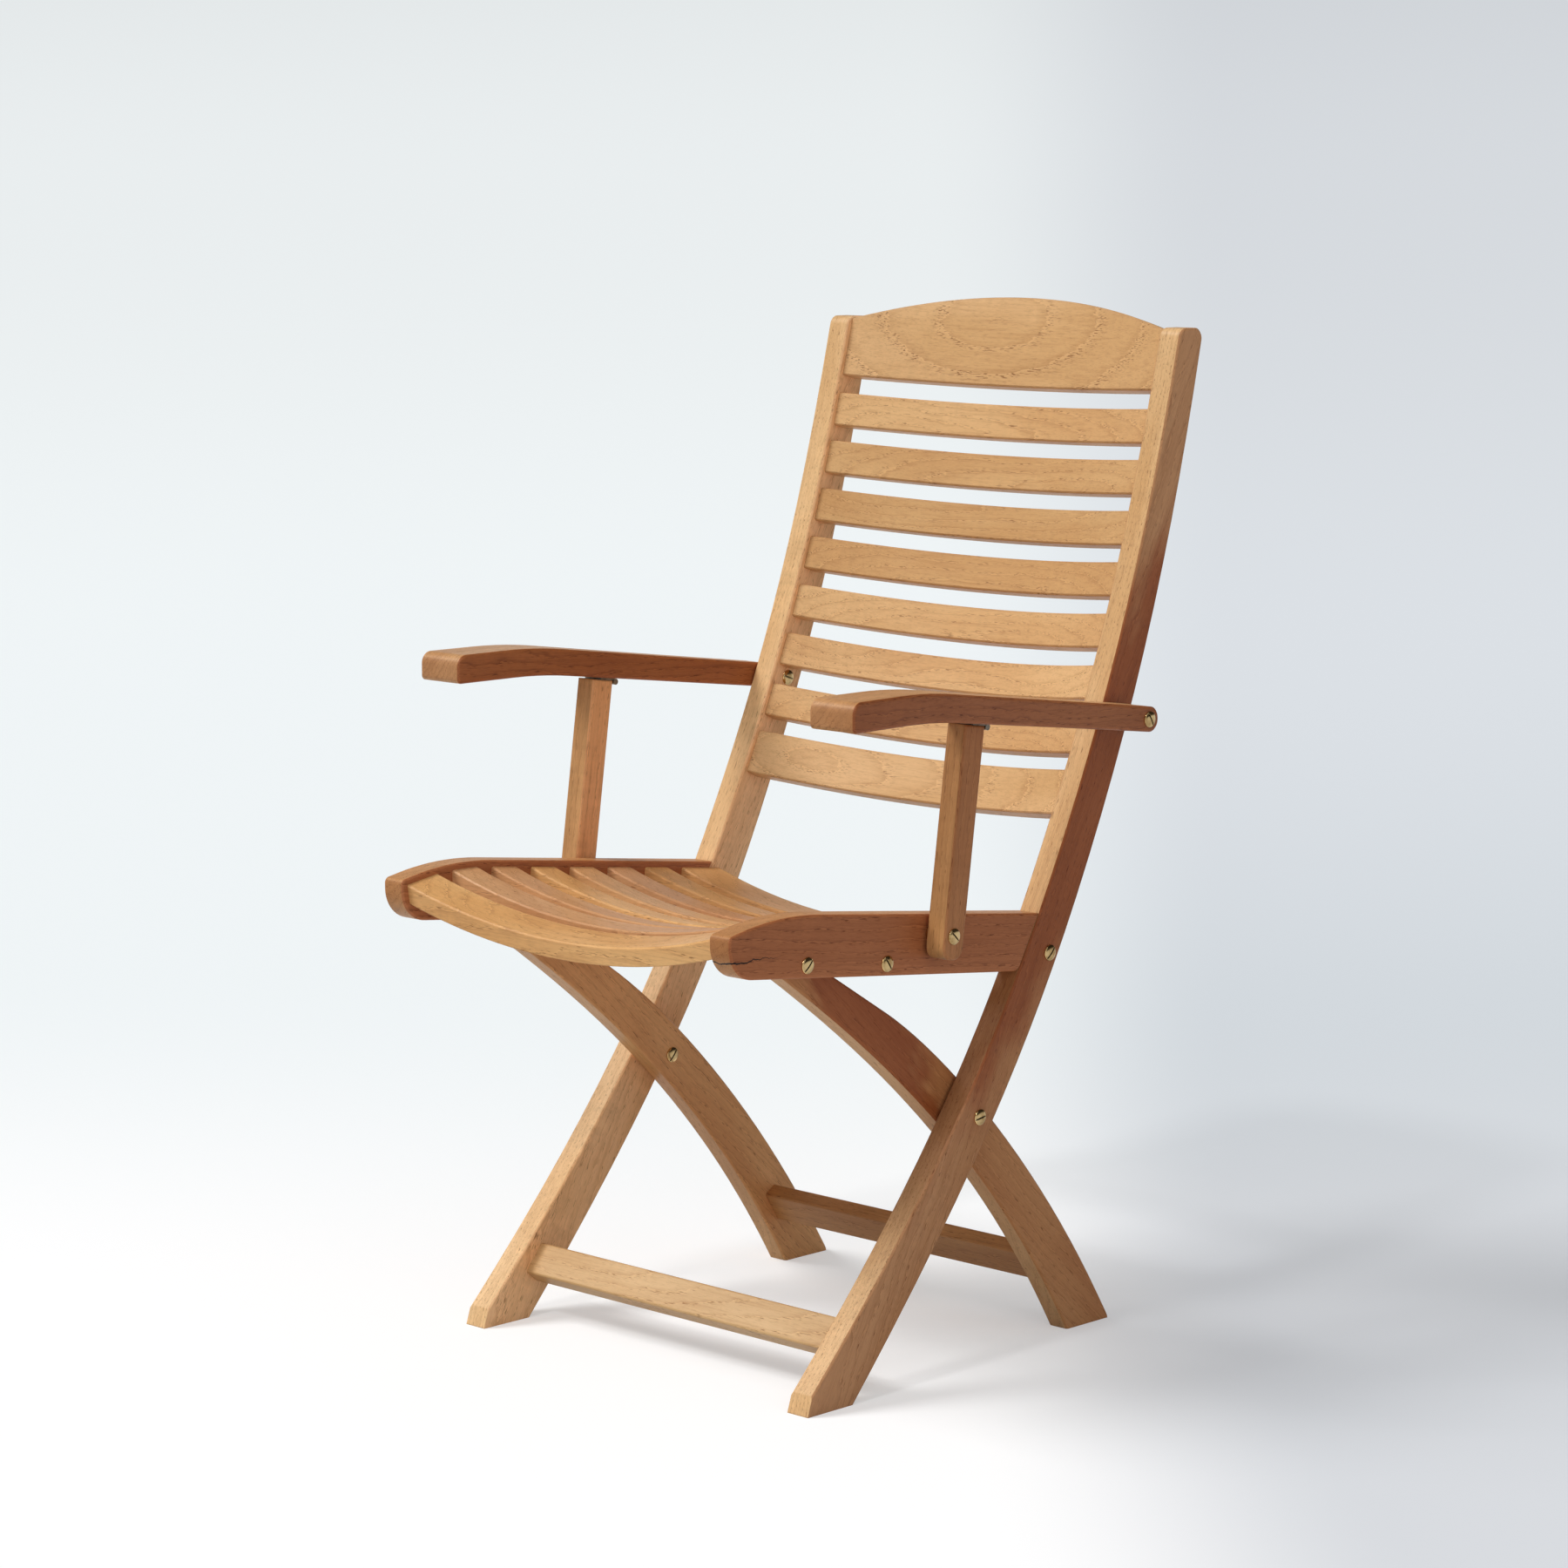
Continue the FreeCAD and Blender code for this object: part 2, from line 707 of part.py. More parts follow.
def make_back_slats():
    """The back: equal slats down to the arm's bolt, one under it and a broader one below."""
    slats = []
    steps = BACK_SLATS - 2
    share = get("back_slat_share")
    top = get("stile_top_z") - get("top_slat_drop")
    room = top - ARM_BOLT_Z - get("slat_over_bolt")
    width = room * share / (share / 2 + steps)
    last = ARM_BOLT_Z - get("slat_under_bolt") - width / 2
    lowest = last - (width + get("lower_slat_height")) / 2 - get("lower_slat_gap")
    levels = [top - width / share * number for number in range(steps + 1)] + [last]
    for number, level in enumerate(levels):
        deeper = (get("full_slat_bow") - get("top_slat_bow")) * (1 - abs(number - steps) / steps)
        bow = get("top_slat_bow") + deeper
        slats.append(("back_slat_%d" % (number + 1), level, bow, width))
    slats.append(("lower_back_slat", lowest, get("lower_slat_bow"), get("lower_slat_height")))
    bodies = []
    for name, level, bow, width in slats:
        body, base = bowed_slat(name, get("clear_half"), bow, get("back_slat_thick"), width)
        ease_edges(body, base, hollow_edges, get("slat_ease"))
        y, z, slope = back_seat(level.number)
        settle(body, y, z, slope)
        bodies.append(body)
    return bodies


def make_crest():
    """The crest rail: bowed like the slats, straight below and arched above."""
    full = get("crest_end_height") + get("crest_rise")
    body, base = bowed_slat("crest_rail", get("clear_half"), get("crest_bow"),
                            get("crest_thick"), full)
    rise = get("crest_rise")
    half = get("clear_half")
    arch = (half * half + rise * rise) / (rise * 2)
    level = get("crest_end_height") - full / 2
    below = -(get("crest_bow") + get("crest_thick")) * 2
    sketch = new_sketch(body, "crest_rail_arch", "XY_Plane", below)
    runs = [
        arc((half, level), arch, 1),
        line((-half, level)),
        line((-half, full)),
        line((half, full)),
    ]
    draw_outline(sketch, runs)
    cut = body.newObject("PartDesign::Pocket", "crest_rail_cut")
    cut.Profile = sketch
    cut.Type = "ThroughAll"
    cut.Reversed = True
    body.Tip = cut
    ease_edges(body, cut, long_edges, get("slat_ease"))
    y, z, slope = back_seat(CREST_Z.number)
    lift = full.number / 2
    lean = math.radians(slope)
    settle(body, y + lift * math.cos(lean), z + lift * math.sin(lean), slope)
    return body


def make_stretcher(name, half, alias):
    """A straight bar between two boards."""
    body = new_body(name)
    sketch = new_sketch(body, name + "_section", "YZ_Plane")
    high, deep = get(alias + "_height") / 2, get(alias + "_thick") / 2
    corners = [(-high, -deep), (high, -deep), (high, deep), (-high, deep)]
    draw_outline(sketch, [line(c) for c in corners])
    base = pad(body, sketch, half * 2, True)
    ease_edges(body, base, long_edges, get("board_ease"))
    settle(body, SIZES[alias + "_y"], SIZES[alias + "_z"], SIZES[alias + "_tilt"])
    return body


def arm_line(face, y):
    """The height of the armrest's sloping top or underside at a place along it."""
    level = get("arm_top_z") if face == "top" else ARM_UNDER
    return level - (y - get("arm_%s_bend_y" % face)) * tangent(get("arm_%s_slope" % face))


def make_armrest(word, side):
    """The armrest: a board bent at its middle, wide in front and narrowed to a tongue."""
    top, under = arm_line("top", ARM_REAR), arm_line("under", ARM_REAR)
    corners = [
        (get("arm_nose_y"), ARM_UNDER),
        (get("arm_nose_y"), get("arm_top_z")),
        (get("arm_top_bend_y"), get("arm_top_z")),
        (ARM_REAR, top),
        (ARM_REAR, under),
        (get("arm_under_bend_y"), ARM_UNDER),
    ]
    name = "armrest_" + word
    body, base = board(name, side, [line(c) for c in corners], [(ARM_BOLT, BORE)],
                       ARM_INNER, get("arm_width"))
    base = cut_tongue(body, name, side)
    end_radius = (top - under) * get("arm_end_share")
    radii = (get("arm_lip_radius"), get("arm_nose_radius"), get("arm_bend_radius"),
             end_radius, end_radius, get("arm_bend_radius"))
    labels = ("lip", "nose", "top_bend", "end_top", "end_under", "under_bend")
    for corner, radius, label in zip(corners, radii, labels):
        rule = across_near(corner[0].number, corner[1].number)
        base = round_edges(body, base, rule, radius, label)
    ease_edges(body, base, side_rims, get("board_ease"))
    settle(body)
    return body


def cut_tongue(body, name, side):
    """Cuts the armrest's outer side back to the tongue's width."""
    sign = as_size(side)
    outer = (ARM_INNER + get("arm_width")) * sign
    tongue = (ARM_INNER + get("tongue_width")) * sign
    beyond = outer + sign * get("arm_width")
    far = ARM_REAR + get("arm_width")
    sketch = new_sketch(body, name + "_plan", "XY_Plane")
    taper = (get("tongue_start_y") - get("arm_nose_y")) / 3
    runs = [
        curve((outer, get("arm_nose_y")),
              (outer - sign * get("arm_flare"), get("arm_nose_y") + taper),
              (tongue, get("tongue_start_y") - taper)),
        line((tongue, get("tongue_start_y"))),
        line((tongue, far)),
        line((beyond, far)),
        line((beyond, get("arm_nose_y"))),
    ]
    draw_outline(sketch, runs)
    cut = body.newObject("PartDesign::Pocket", name + "_taper")
    cut.Profile = sketch
    cut.Type = "ThroughAll"
    cut.Reversed = True
    body.Tip = cut
    return cut


def hinge_place():
    """The hinge's axis: behind the post's rear face and under the armrest."""
    off = SIZES["knuckle_radius"] + SIZES["knuckle_gap"]
    y = post_top(get("post_behind"))[0].number + off
    lean = math.radians(SIZES["arm_under_slope"])
    return y, arm_line("under", as_size(y)).number - off / math.cos(lean)


def leaf_stack():
    """How far the post's top lies under the armrest: two leaves and the gap between them."""
    return get("leaf_thick") * 2 + get("leaf_gap")


def post_place(aside, along):
    """A point of the post, by its distance behind the bolt and its distance up the post."""
    tilt = get("post_tilt")
    return (POST_BOLT[0] + aside * cosine(tilt) + along * sine(tilt),
            POST_BOLT[1] - aside * sine(tilt) + along * cosine(tilt))


def post_top(aside):
    """Where an edge of the post, so far behind the bolt, meets the leaf under the armrest."""
    start = post_place(aside, ZERO)
    slope, tilt = get("arm_under_slope"), get("post_tilt")
    room = arm_line("under", start[0]) - leaf_stack() / cosine(slope) - start[1]
    return post_place(aside, room / (cosine(tilt) + sine(tilt) * tangent(slope)))


def make_post(word, side):
    """The post between the seat rail and the armrest."""
    behind = get("post_behind")
    ahead = behind - get("post_depth")
    front_foot, rear_foot = (post_place(aside, -get("post_end")) for aside in (ahead, behind))
    corners = [front_foot, rear_foot, post_top(behind), post_top(ahead)]
    body, base = board("post_" + word, side, [line(c) for c in corners], [(POST_BOLT, BORE)],
                       POST_INNER, get("post_thick"))
    for corner, label in ((front_foot, "front_foot"), (rear_foot, "rear_foot")):
        rule = across_near(corner[0].number, corner[1].number)
        base = round_edges(body, base, rule, get("post_end_radius"), label)
    ease_edges(body, base, side_rims, get("board_ease"))
    settle(body)
    return body


def knuckle_ends():
    """The three knuckles' ends across the post, as distances from its inner face."""
    third = get("post_thick") / 3
    gap = get("knuckle_gap") / 2
    return ((ZERO, third - gap), (third + gap, third * 2 - gap), (third * 2 + gap, get("post_thick")))


def hinge_pad(body, name, side, start, end, radii):
    """A round pad about the hinge's axis, between two distances from the post's inner face."""
    near = POST_INNER + start
    offset = near if side > 0 else -(POST_INNER + end)
    sketch = new_sketch(body, name, "YZ_Plane", offset)
    for radius in radii:
        draw_circle(sketch, (ZERO, ZERO), radius)
    return pad(body, sketch, end - start)


def leaf_plate(body, name, side, level, reaches):
    """A leaf of the hinge: a plate that reaches each knuckle as far as its list says."""
    sign = as_size(side)
    sketch = new_sketch(body, name, "XY_Plane", level)
    front = -get("leaf_length")
    corners = [(POST_INNER * sign, front)]
    for (start, end), reach in zip(knuckle_ends(), reaches):
        corners.append(((POST_INNER + start) * sign, reach))
        corners.append(((POST_INNER + end) * sign, reach))
    corners.append(((POST_INNER + get("post_thick")) * sign, front))
    draw_outline(sketch, [line(c) for c in corners])
    return pad(body, sketch, get("leaf_thick"))


def make_hinge(word, side):
    """The small butt hinge: one leaf under the armrest, the other, with the pin, on the post."""
    top = get("knuckle_radius") + get("knuckle_gap")
    short = -top
    y, z = hinge_place()
    tilt = -SIZES["arm_under_slope"]
    ends = knuckle_ends()
    reach = -get("knuckle_radius") * get("leaf_share")
    pin, bore = get("hinge_pin_radius"), get("hinge_pin_radius") + get("running_gap")

    upper = new_body("hinge_leaf_upper_" + word)
    leaf_plate(upper, "upper_plate_" + word, side, top - get("leaf_thick"),
               (reach, short, reach))
    for place in (0, 2):
        hinge_pad(upper, "upper_knuckle_%s_%d" % (word, place), side, ends[place][0],
                  ends[place][1], (get("knuckle_radius"), bore))
    settle(upper, y, z, tilt)

    lower = new_body("hinge_leaf_lower_" + word)
    hinge_pad(lower, "lower_pin_" + word, side, ZERO, get("post_thick"), (pin,))
    hinge_pad(lower, "lower_knuckle_" + word, side, ends[1][0], ends[1][1],
              (get("knuckle_radius"),))
    leaf_plate(lower, "lower_plate_" + word, side, top - leaf_stack(), (short, reach, short))
    settle(lower, y, z, tilt)
    return [upper, lower]


def make_strap(word, side):
    """The flat steel strap between the stile and the seat rail, hidden beside the leg."""
    ahead = SIZES["strap_bolt_y"] - SIZES["pin_y"]
    rise = SIZES["pin_z"] - SIZES["strap_bolt_z"]
    run = math.hypot(ahead, rise)
    length = as_size(run)
    half = get("strap_width") / 2
    body = new_body("strap_" + word)
    inner = LEG_OUTER + get("strap_gap")
    offset = inner if side > 0 else -(inner + get("strap_thick"))
    sketch = new_sketch(body, "strap_%s_outline" % word, "YZ_Plane", offset)
    runs = [
        line((-length, half)),
        arc((ZERO, half), half, -1),
        arc((half, ZERO), half, -1),
        line((ZERO, -half)),
        arc((-length, -half), half, -1),
        arc((-length - half, ZERO), half, -1),
    ]
    draw_outline(sketch, runs)
    for centre in ((ZERO, ZERO), (-length, ZERO)):
        draw_circle(sketch, centre, BORE)
    pad(body, sketch, get("strap_thick"))
    tilt = -math.degrees(math.atan2(rise, ahead))
    settle(body, SIZES["strap_bolt_y"], SIZES["strap_bolt_z"], tilt)
    return body


def turn_bolt(body, name, inner, outer, inner_head):
    """A bolt turned about the chair's X axis, from an inner to an outer face: its head tapers."""
    sketch = new_sketch(body, name + "_profile", "XZ_Plane")
    shank, head, top = get("bolt_radius"), get("bolt_head_radius"), get("bolt_head_top")
    rise = get("bolt_head_rise")
    corners = [(inner, ZERO)]
    if inner_head:
        corners = [
            (inner - rise, ZERO),
            (inner - rise, top),
            (inner, head),
        ]
    corners += [
        (inner, shank),
        (outer, shank),
        (outer, head),
        (outer + rise, top),
        (outer + rise, ZERO),
    ]
    draw_outline(sketch, [line(c) for c in corners])
    return revolve(body, sketch)


def make_bolts(name, place, inner, outer, inner_head):
    """A pair of bolts, one on either side of the chair."""
    body = new_body(name, True)
    mirror_across(body, turn_bolt(body, name, inner, outer, inner_head))
    settle(body, place[0].number, place[1].number)
    return body


def make_washers(name, place, inner, thick, radius):
    """A pair of washers that keep two boards apart on their bolt."""
    body = new_body(name, True)
    sketch = new_sketch(body, name + "_ring", "YZ_Plane", inner)
    draw_circle(sketch, (ZERO, ZERO), radius)
    draw_circle(sketch, (ZERO, ZERO), BORE)
    ring = pad(body, sketch, thick)
    mirror_across(body, ring)
    settle(body, place[0].number, place[1].number)
    return body


def make_post_bolt(word, side):
    """The bolt and the washer at a post's foot: they stop just short of the seat rail."""
    bolt = new_body("post_bolt_" + word)
    near = RAIL_OUTER + get("strap_gap")
    outer = POST_INNER + get("post_thick")
    turn_bolt(bolt, "post_bolt_" + word, near, outer, False)
    settle(bolt, SIZES["post_bolt_y"], SIZES["post_bolt_z"])
    if side < 0:
        bolt.Placement.Rotation = FreeCAD.Rotation(FreeCAD.Vector(0, 0, 1), 180)
    washer = new_body("post_washer_" + word)
    offset = near if side > 0 else -POST_INNER
    sketch = new_sketch(washer, "post_washer_%s_ring" % word, "YZ_Plane", offset)
    draw_circle(sketch, (ZERO, ZERO), get("washer_radius"))
    draw_circle(sketch, (ZERO, ZERO), BORE)
    pad(washer, sketch, POST_INNER - near)
    settle(washer, SIZES["post_bolt_y"], SIZES["post_bolt_z"])
    return [bolt, washer]


def make_fastenings():
    """The bolts and washers, each pair one object with a bolt or washer on either side."""
    washer = get("washer_radius")
    strap_face = LEG_OUTER + get("strap_gap")
    tongue = ARM_INNER + get("tongue_width")
    return [
        make_bolts("crossing_bolts", CROSSING, LEG_INNER, STILE_OUTER, True),
        make_washers("crossing_washers", CROSSING, LEG_OUTER, get("leg_gap"), washer),
        make_bolts("leg_bolts", LEG_TOP, LEG_INNER, RAIL_OUTER, True),
        make_washers("leg_washers", LEG_TOP, LEG_OUTER, RAIL_INNER - LEG_OUTER, washer),
        make_bolts("rail_screws", PIN, strap_face, RAIL_OUTER, False),
        make_bolts("strap_bolts", STRAP_BOLT, get("clear_half"), STILE_OUTER, False),
        make_bolts("arm_bolts", ARM_BOLT, get("clear_half"), tongue, True),
        make_washers("arm_washers", ARM_BOLT, STILE_OUTER, get("arm_gap"), washer),
    ]


pieces = []
for side_word, side_sign in SIDES:
    pieces.append(make_stile(side_word, side_sign))
    pieces.append(make_leg(side_word, side_sign))
    pieces.append(make_seat_rail(side_word, side_sign))
    pieces.append(make_armrest(side_word, side_sign))
    pieces.append(make_post(side_word, side_sign))
    pieces.extend(make_hinge(side_word, side_sign))
    pieces.append(make_strap(side_word, side_sign))
    pieces.extend(make_post_bolt(side_word, side_sign))
pieces.extend(make_seat_slats())
pieces.extend(make_back_slats())
pieces.append(make_crest())
pieces.append(make_stretcher("front_stretcher", get("clear_half"), "front_bar"))
pieces.append(make_stretcher("rear_stretcher", LEG_INNER, "rear_bar"))
pieces.extend(make_fastenings())

doc.recompute()
for thing in doc.Objects:
    if "Invalid" in thing.State or "Error" in thing.State:
        raise RuntimeError("%s did not build: %s" % (thing.Name, thing.State))
os.makedirs("parts", exist_ok=True)
for piece in pieces:
    if piece.Shape.isNull() or not piece.Shape.isValid():
        raise RuntimeError("%s has no valid shape" % piece.Label)
    piece.Shape.exportStep("parts/%s.step" % piece.Label)
print("pieces", len(pieces))
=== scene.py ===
import math

import bpy
from mathutils import Euler, Matrix, Vector


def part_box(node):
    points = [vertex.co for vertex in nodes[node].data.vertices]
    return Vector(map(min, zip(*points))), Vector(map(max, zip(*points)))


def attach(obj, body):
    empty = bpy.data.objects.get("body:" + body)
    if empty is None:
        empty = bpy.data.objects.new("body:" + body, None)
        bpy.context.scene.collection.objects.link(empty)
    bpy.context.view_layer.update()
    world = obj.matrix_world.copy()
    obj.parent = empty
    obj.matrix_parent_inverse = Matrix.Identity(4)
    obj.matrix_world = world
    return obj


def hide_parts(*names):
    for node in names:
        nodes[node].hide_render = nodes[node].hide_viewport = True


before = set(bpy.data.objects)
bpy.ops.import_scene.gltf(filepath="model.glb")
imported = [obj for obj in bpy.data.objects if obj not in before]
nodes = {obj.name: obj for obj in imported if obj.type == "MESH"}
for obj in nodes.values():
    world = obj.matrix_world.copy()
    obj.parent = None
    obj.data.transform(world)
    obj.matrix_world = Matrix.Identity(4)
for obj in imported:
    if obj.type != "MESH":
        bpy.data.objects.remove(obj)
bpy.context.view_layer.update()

# The two stiles run from the front feet to the crest, each sawn to a double curve
# from one teak board. The narrow front edge is pale with straight dark pore lines, the
# broad side is browner, partly as painted shade, and every sawn edge is rounded, oiled
# and tinted lighter, partly as wear and partly as painted highlight.


def tone(red, green, blue):
    """A colour as the eye names it, turned to the shader's linear values."""
    parts = []
    for part in (red, green, blue):
        part = part / 255
        parts.append(part / 12.92 if part <= 0.04045 else ((part + 0.055) / 1.055) ** 2.4)
    return (parts[0], parts[1], parts[2], 1.0)


def feed(tree, value, socket):
    """Sets a socket to a number, a colour or a vector, or links another socket to it."""
    if isinstance(value, (int, float, tuple)):
        socket.default_value = value
    elif value is not None:
        tree.links.new(value, socket)


def new_group(name, inputs, outputs):
    """An empty shader group with named sockets."""
    group = bpy.data.node_groups.new(name, "ShaderNodeTree")
    for label, kind in inputs:
        group.interface.new_socket(label, in_out="INPUT", socket_type="NodeSocket" + kind)
    for label, kind in outputs:
        group.interface.new_socket(label, in_out="OUTPUT", socket_type="NodeSocket" + kind)
    given, result = group.nodes.new("NodeGroupInput"), group.nodes.new("NodeGroupOutput")
    return group, given.outputs, result.inputs


def reckon(tree, operation, first, second=None, third=None):
    """A sum, a product or another step of arithmetic on single values."""
    node = tree.nodes.new("ShaderNodeMath")
    node.operation = operation
    for socket, value in zip(node.inputs, (first, second, third)):
        feed(tree, value, socket)
    return node.outputs[0]


def steer(tree, operation, first, second=None):
    """A step of arithmetic on places and directions."""
    node = tree.nodes.new("ShaderNodeVectorMath")
    node.operation = operation
    for socket, value in zip(node.inputs, (first, second)):
        feed(tree, value, socket)
    return node.outputs["Value"] if operation in ("LENGTH", "DOT_PRODUCT") else node.outputs[0]


def triple_of(tree, *values):
    """A vector made of up to three values."""
    node = tree.nodes.new("ShaderNodeCombineXYZ")
    for socket, value in zip(node.inputs, values):
        feed(tree, value, socket)
    return node.outputs[0]


def parts_of(tree, vector):
    """The X, Y and Z of a vector."""
    node = tree.nodes.new("ShaderNodeSeparateXYZ")
    feed(tree, vector, node.inputs[0])
    return node.outputs


def cloud(tree, place, stretch, detail=2.0, roughness=0.55):
    """Soft random values, drawn out along the grain by how the place is stretched."""
    node = tree.nodes.new("ShaderNodeTexNoise")
    node.inputs["Scale"].default_value = 1.0
    node.inputs["Detail"].default_value = detail
    node.inputs["Roughness"].default_value = roughness
    feed(tree, steer(tree, "MULTIPLY", place, stretch), node.inputs["Vector"])
    return node.outputs


def ramp(tree, value, low, high, bottom=0.0, top=1.0):
    """A value brought smoothly from one range to another."""
    node = tree.nodes.new("ShaderNodeMapRange")
    node.interpolation_type = "SMOOTHSTEP"
    feed(tree, value, node.inputs["Value"])
    for label, number in (("From Min", low), ("From Max", high), ("To Min", bottom), ("To Max", top)):
        feed(tree, number, node.inputs[label])
    return node.outputs["Result"]


def blend(tree, share, first, second, mode="MIX"):
    """Two colours mixed by a share."""
    node = tree.nodes.new("ShaderNodeMix")
    node.data_type = "RGBA"
    node.blend_type = mode
    for socket, value in zip((node.inputs[0], node.inputs[6], node.inputs[7]), (share, first, second)):
        feed(tree, value, socket)
    return node.outputs[2]


def tinted(tree, color, tint):
    """A colour multiplied by a tint of red, green and blue."""
    return blend(tree, 1.0, color, tint + (1.0,), "MULTIPLY")


def bent_grain(group, given, place):
    """The place in the log, swayed so that no growth ring runs quite true."""
    long_curve = ((4.0, 14.0, 14.0), (0.0, 0.022, 0.022))
    small_waves = ((30.0, 80.0, 80.0), (0.004, 0.006, 0.006))
    jagged_edges = ((22.0, 210.0, 210.0), (0.026, 0.0, 0.0))
    bent = given["Place"]
    for stretch, reach in (long_curve, small_waves, jagged_edges):
        sway = steer(group, "SUBTRACT", cloud(group, place, stretch)["Color"], (0.5, 0.5, 0.5))
        bent = steer(group, "ADD", bent, steer(group, "MULTIPLY", sway, reach))
    return bent


def count_rings(group, given, bent):
    """How many growth rings lie between the pith and the place."""
    spread = triple_of(group, given["Taper"], 1.0, 1.0)
    away = steer(group, "MULTIPLY", steer(group, "SUBTRACT", bent, given["Pith"]), spread)
    return reckon(group, "DIVIDE", steer(group, "LENGTH", away), given["Ring Width"])


def mark_pores(group, given, place, early):
    """Short dark pores, most of them in the early wood of each ring."""
    fine = (110.0, 1300.0, 1300.0)
    everywhere = 0.2
    pore = ramp(group, cloud(group, place, fine, 1.0)[0], 0.55, 0.66)
    share = reckon(group, "MULTIPLY_ADD", early, 1.0 - everywhere, everywhere)
    return reckon(group, "MULTIPLY", reckon(group, "MULTIPLY", pore, share), given["Pores"])


def mark_heartwood(group, given, bent, patch):
    """The stretch of a board that is cut from the darker heart of the log."""
    slant = 2.5
    raggedness = 0.24
    axis = parts_of(group, bent)
    heart = reckon(group, "MULTIPLY_ADD", axis[2], slant, axis[0])
    heart = reckon(group, "SUBTRACT", heart, given["Heart Place"])
    heart = reckon(group, "MULTIPLY_ADD", reckon(group, "SUBTRACT", patch, 0.5), raggedness, heart)
    heart = reckon(group, "DIVIDE", reckon(group, "ABSOLUTE", heart), given["Heart Reach"])
    return ramp(group, heart, 0.65, 1.3, 1.0, 0.0)


def mark_lines(group, given, late, dash, patch):
    """The dark line at the end of each ring, broken into dashes and patches."""
    line = reckon(group, "MULTIPLY", late, ramp(group, dash, 0.35, 0.65, 0.4, 1.0))
    line = reckon(group, "MULTIPLY", line, ramp(group, patch, 0.3, 0.6, 0.35, 1.0))
    return reckon(group, "MULTIPLY", line, given["Figure"])


def make_teak_grain():
    """Growth rings about a pith, fibre streaks, ripple and short dark pores, along X."""
    group, given, result = new_group("TeakGrain", (
        ("Place", "Vector"), ("Seed", "Float"), ("Light", "Color"), ("Middle", "Color"),
        ("Dark", "Color"), ("Pith", "Vector"), ("Taper", "Float"), ("Ring Width", "Float"),
        ("Figure", "Float"), ("Pores", "Float"), ("Ripple", "Float"), ("Heart Place", "Float"),
        ("Heart Reach", "Float"),
    ), (("Color", "Color"), ("Roughness", "Float"), ("Height", "Float"), ("Heartwood", "Float")))
    steps = [reckon(group, "MULTIPLY", given["Seed"], share) for share in (0.73, 0.31, 0.57)]
    place = steer(group, "ADD", given["Place"], triple_of(group, *steps))
    bent = bent_grain(group, given, place)
    rings = count_rings(group, given, bent)
    turn = reckon(group, "FRACT", rings)
    late = ramp(group, turn, 0.76, 0.99)
    early = ramp(group, turn, 0.02, 0.34, 1.0, 0.0)
    pale = ramp(group, turn, 0.0, 0.14, 1.0, 0.0)

    band = cloud(group, triple_of(group, rings, given["Seed"]), (0.55, 1.0, 1.0), 1.0)[0]
    drift = cloud(group, place, (2.5, 11.0, 11.0), 3.0)[0]
    patch = cloud(group, place, (14.0, 40.0, 40.0))[0]
    streak = cloud(group, place, (9.0, 330.0, 330.0), 5.0, 0.62)[0]
    dash = cloud(group, place, (60.0, 620.0, 620.0))[0]
    wave = cloud(group, place, (105.0, 26.0, 26.0))[0]
    pore = mark_pores(group, given, place, early)
    feed(group, mark_heartwood(group, given, bent, patch), result["Heartwood"])

    band_share, streak_share, fleck_share, glow_share = 0.15, 0.30, 0.16, 0.8
    color = blend(group, ramp(group, drift, 0.36, 0.64), given["Light"], given["Middle"])
    wave = reckon(group, "MULTIPLY", reckon(group, "SUBTRACT", wave, 0.5), given["Ripple"])
    wave = reckon(group, "MULTIPLY", wave, ramp(group, patch, 0.42, 0.6))
    color = blend(group, 1.0, color, reckon(group, "ADD", wave, 1.0), "MULTIPLY")
    share = reckon(group, "MULTIPLY", ramp(group, band, 0.35, 0.75), band_share)
    color = blend(group, share, color, given["Dark"])
    color = blend(group, mark_lines(group, given, late, dash, patch), color, given["Dark"])
    share = reckon(group, "MULTIPLY", ramp(group, streak, 0.42, 0.78), streak_share)
    color = blend(group, share, color, given["Dark"])
    fleck = reckon(group, "MULTIPLY", ramp(group, dash, 0.58, 0.70), fleck_share)
    fleck = reckon(group, "MAXIMUM", fleck, reckon(group, "MULTIPLY", pale, given["Figure"]))
    glow = tinted(group, given["Light"], (1.14, 1.12, 1.06))
    color = blend(group, reckon(group, "MULTIPLY", fleck, glow_share), color, glow)
    color = blend(group, pore, color, tinted(group, given["Dark"], (0.55, 0.44, 0.36)))
    feed(group, color, result["Color"])

    rough = reckon(group, "MULTIPLY_ADD", drift, 0.14, 0.27)
    rough = reckon(group, "MULTIPLY_ADD", streak, 0.12, rough)
    feed(group, reckon(group, "MULTIPLY_ADD", pore, 0.25, rough), result["Roughness"])
    height = reckon(group, "MULTIPLY", streak, 0.3)
    height = reckon(group, "MULTIPLY_ADD", pore, -0.9, height)
    feed(group, reckon(group, "MULTIPLY_ADD", late, -0.15, height), result["Height"])
    return group


def make_board_faces():
    """Masks for a board's rounded edges, end grain and broad sides."""
    group, given, result = new_group("BoardFaces", (
        ("Normal", "Vector"), ("Rounded", "Vector"), ("Flat", "Vector"), ("Along", "Vector"),
        ("Across", "Vector"),
    ), (("Edge", "Float"), ("End", "Float"), ("Side", "Float")))
    softness = 0.15
    meet = steer(group, "DOT_PRODUCT", given["Rounded"], given["Flat"])
    feed(group, ramp(group, meet, 0.985, 0.86), result["Edge"])
    for label, axis, low in (("End", "Along", 0.80), ("Side", "Across", 0.50)):
        face = reckon(group, "ABSOLUTE", steer(group, "DOT_PRODUCT", given["Normal"], given[axis]))
        feed(group, ramp(group, face, low, low + softness), result[label])
    return group


teak_grain = make_teak_grain()
board_faces = make_board_faces()
CROSSWISE = None
NO_HEART = (9.0, 1.0, (255, 255, 255))


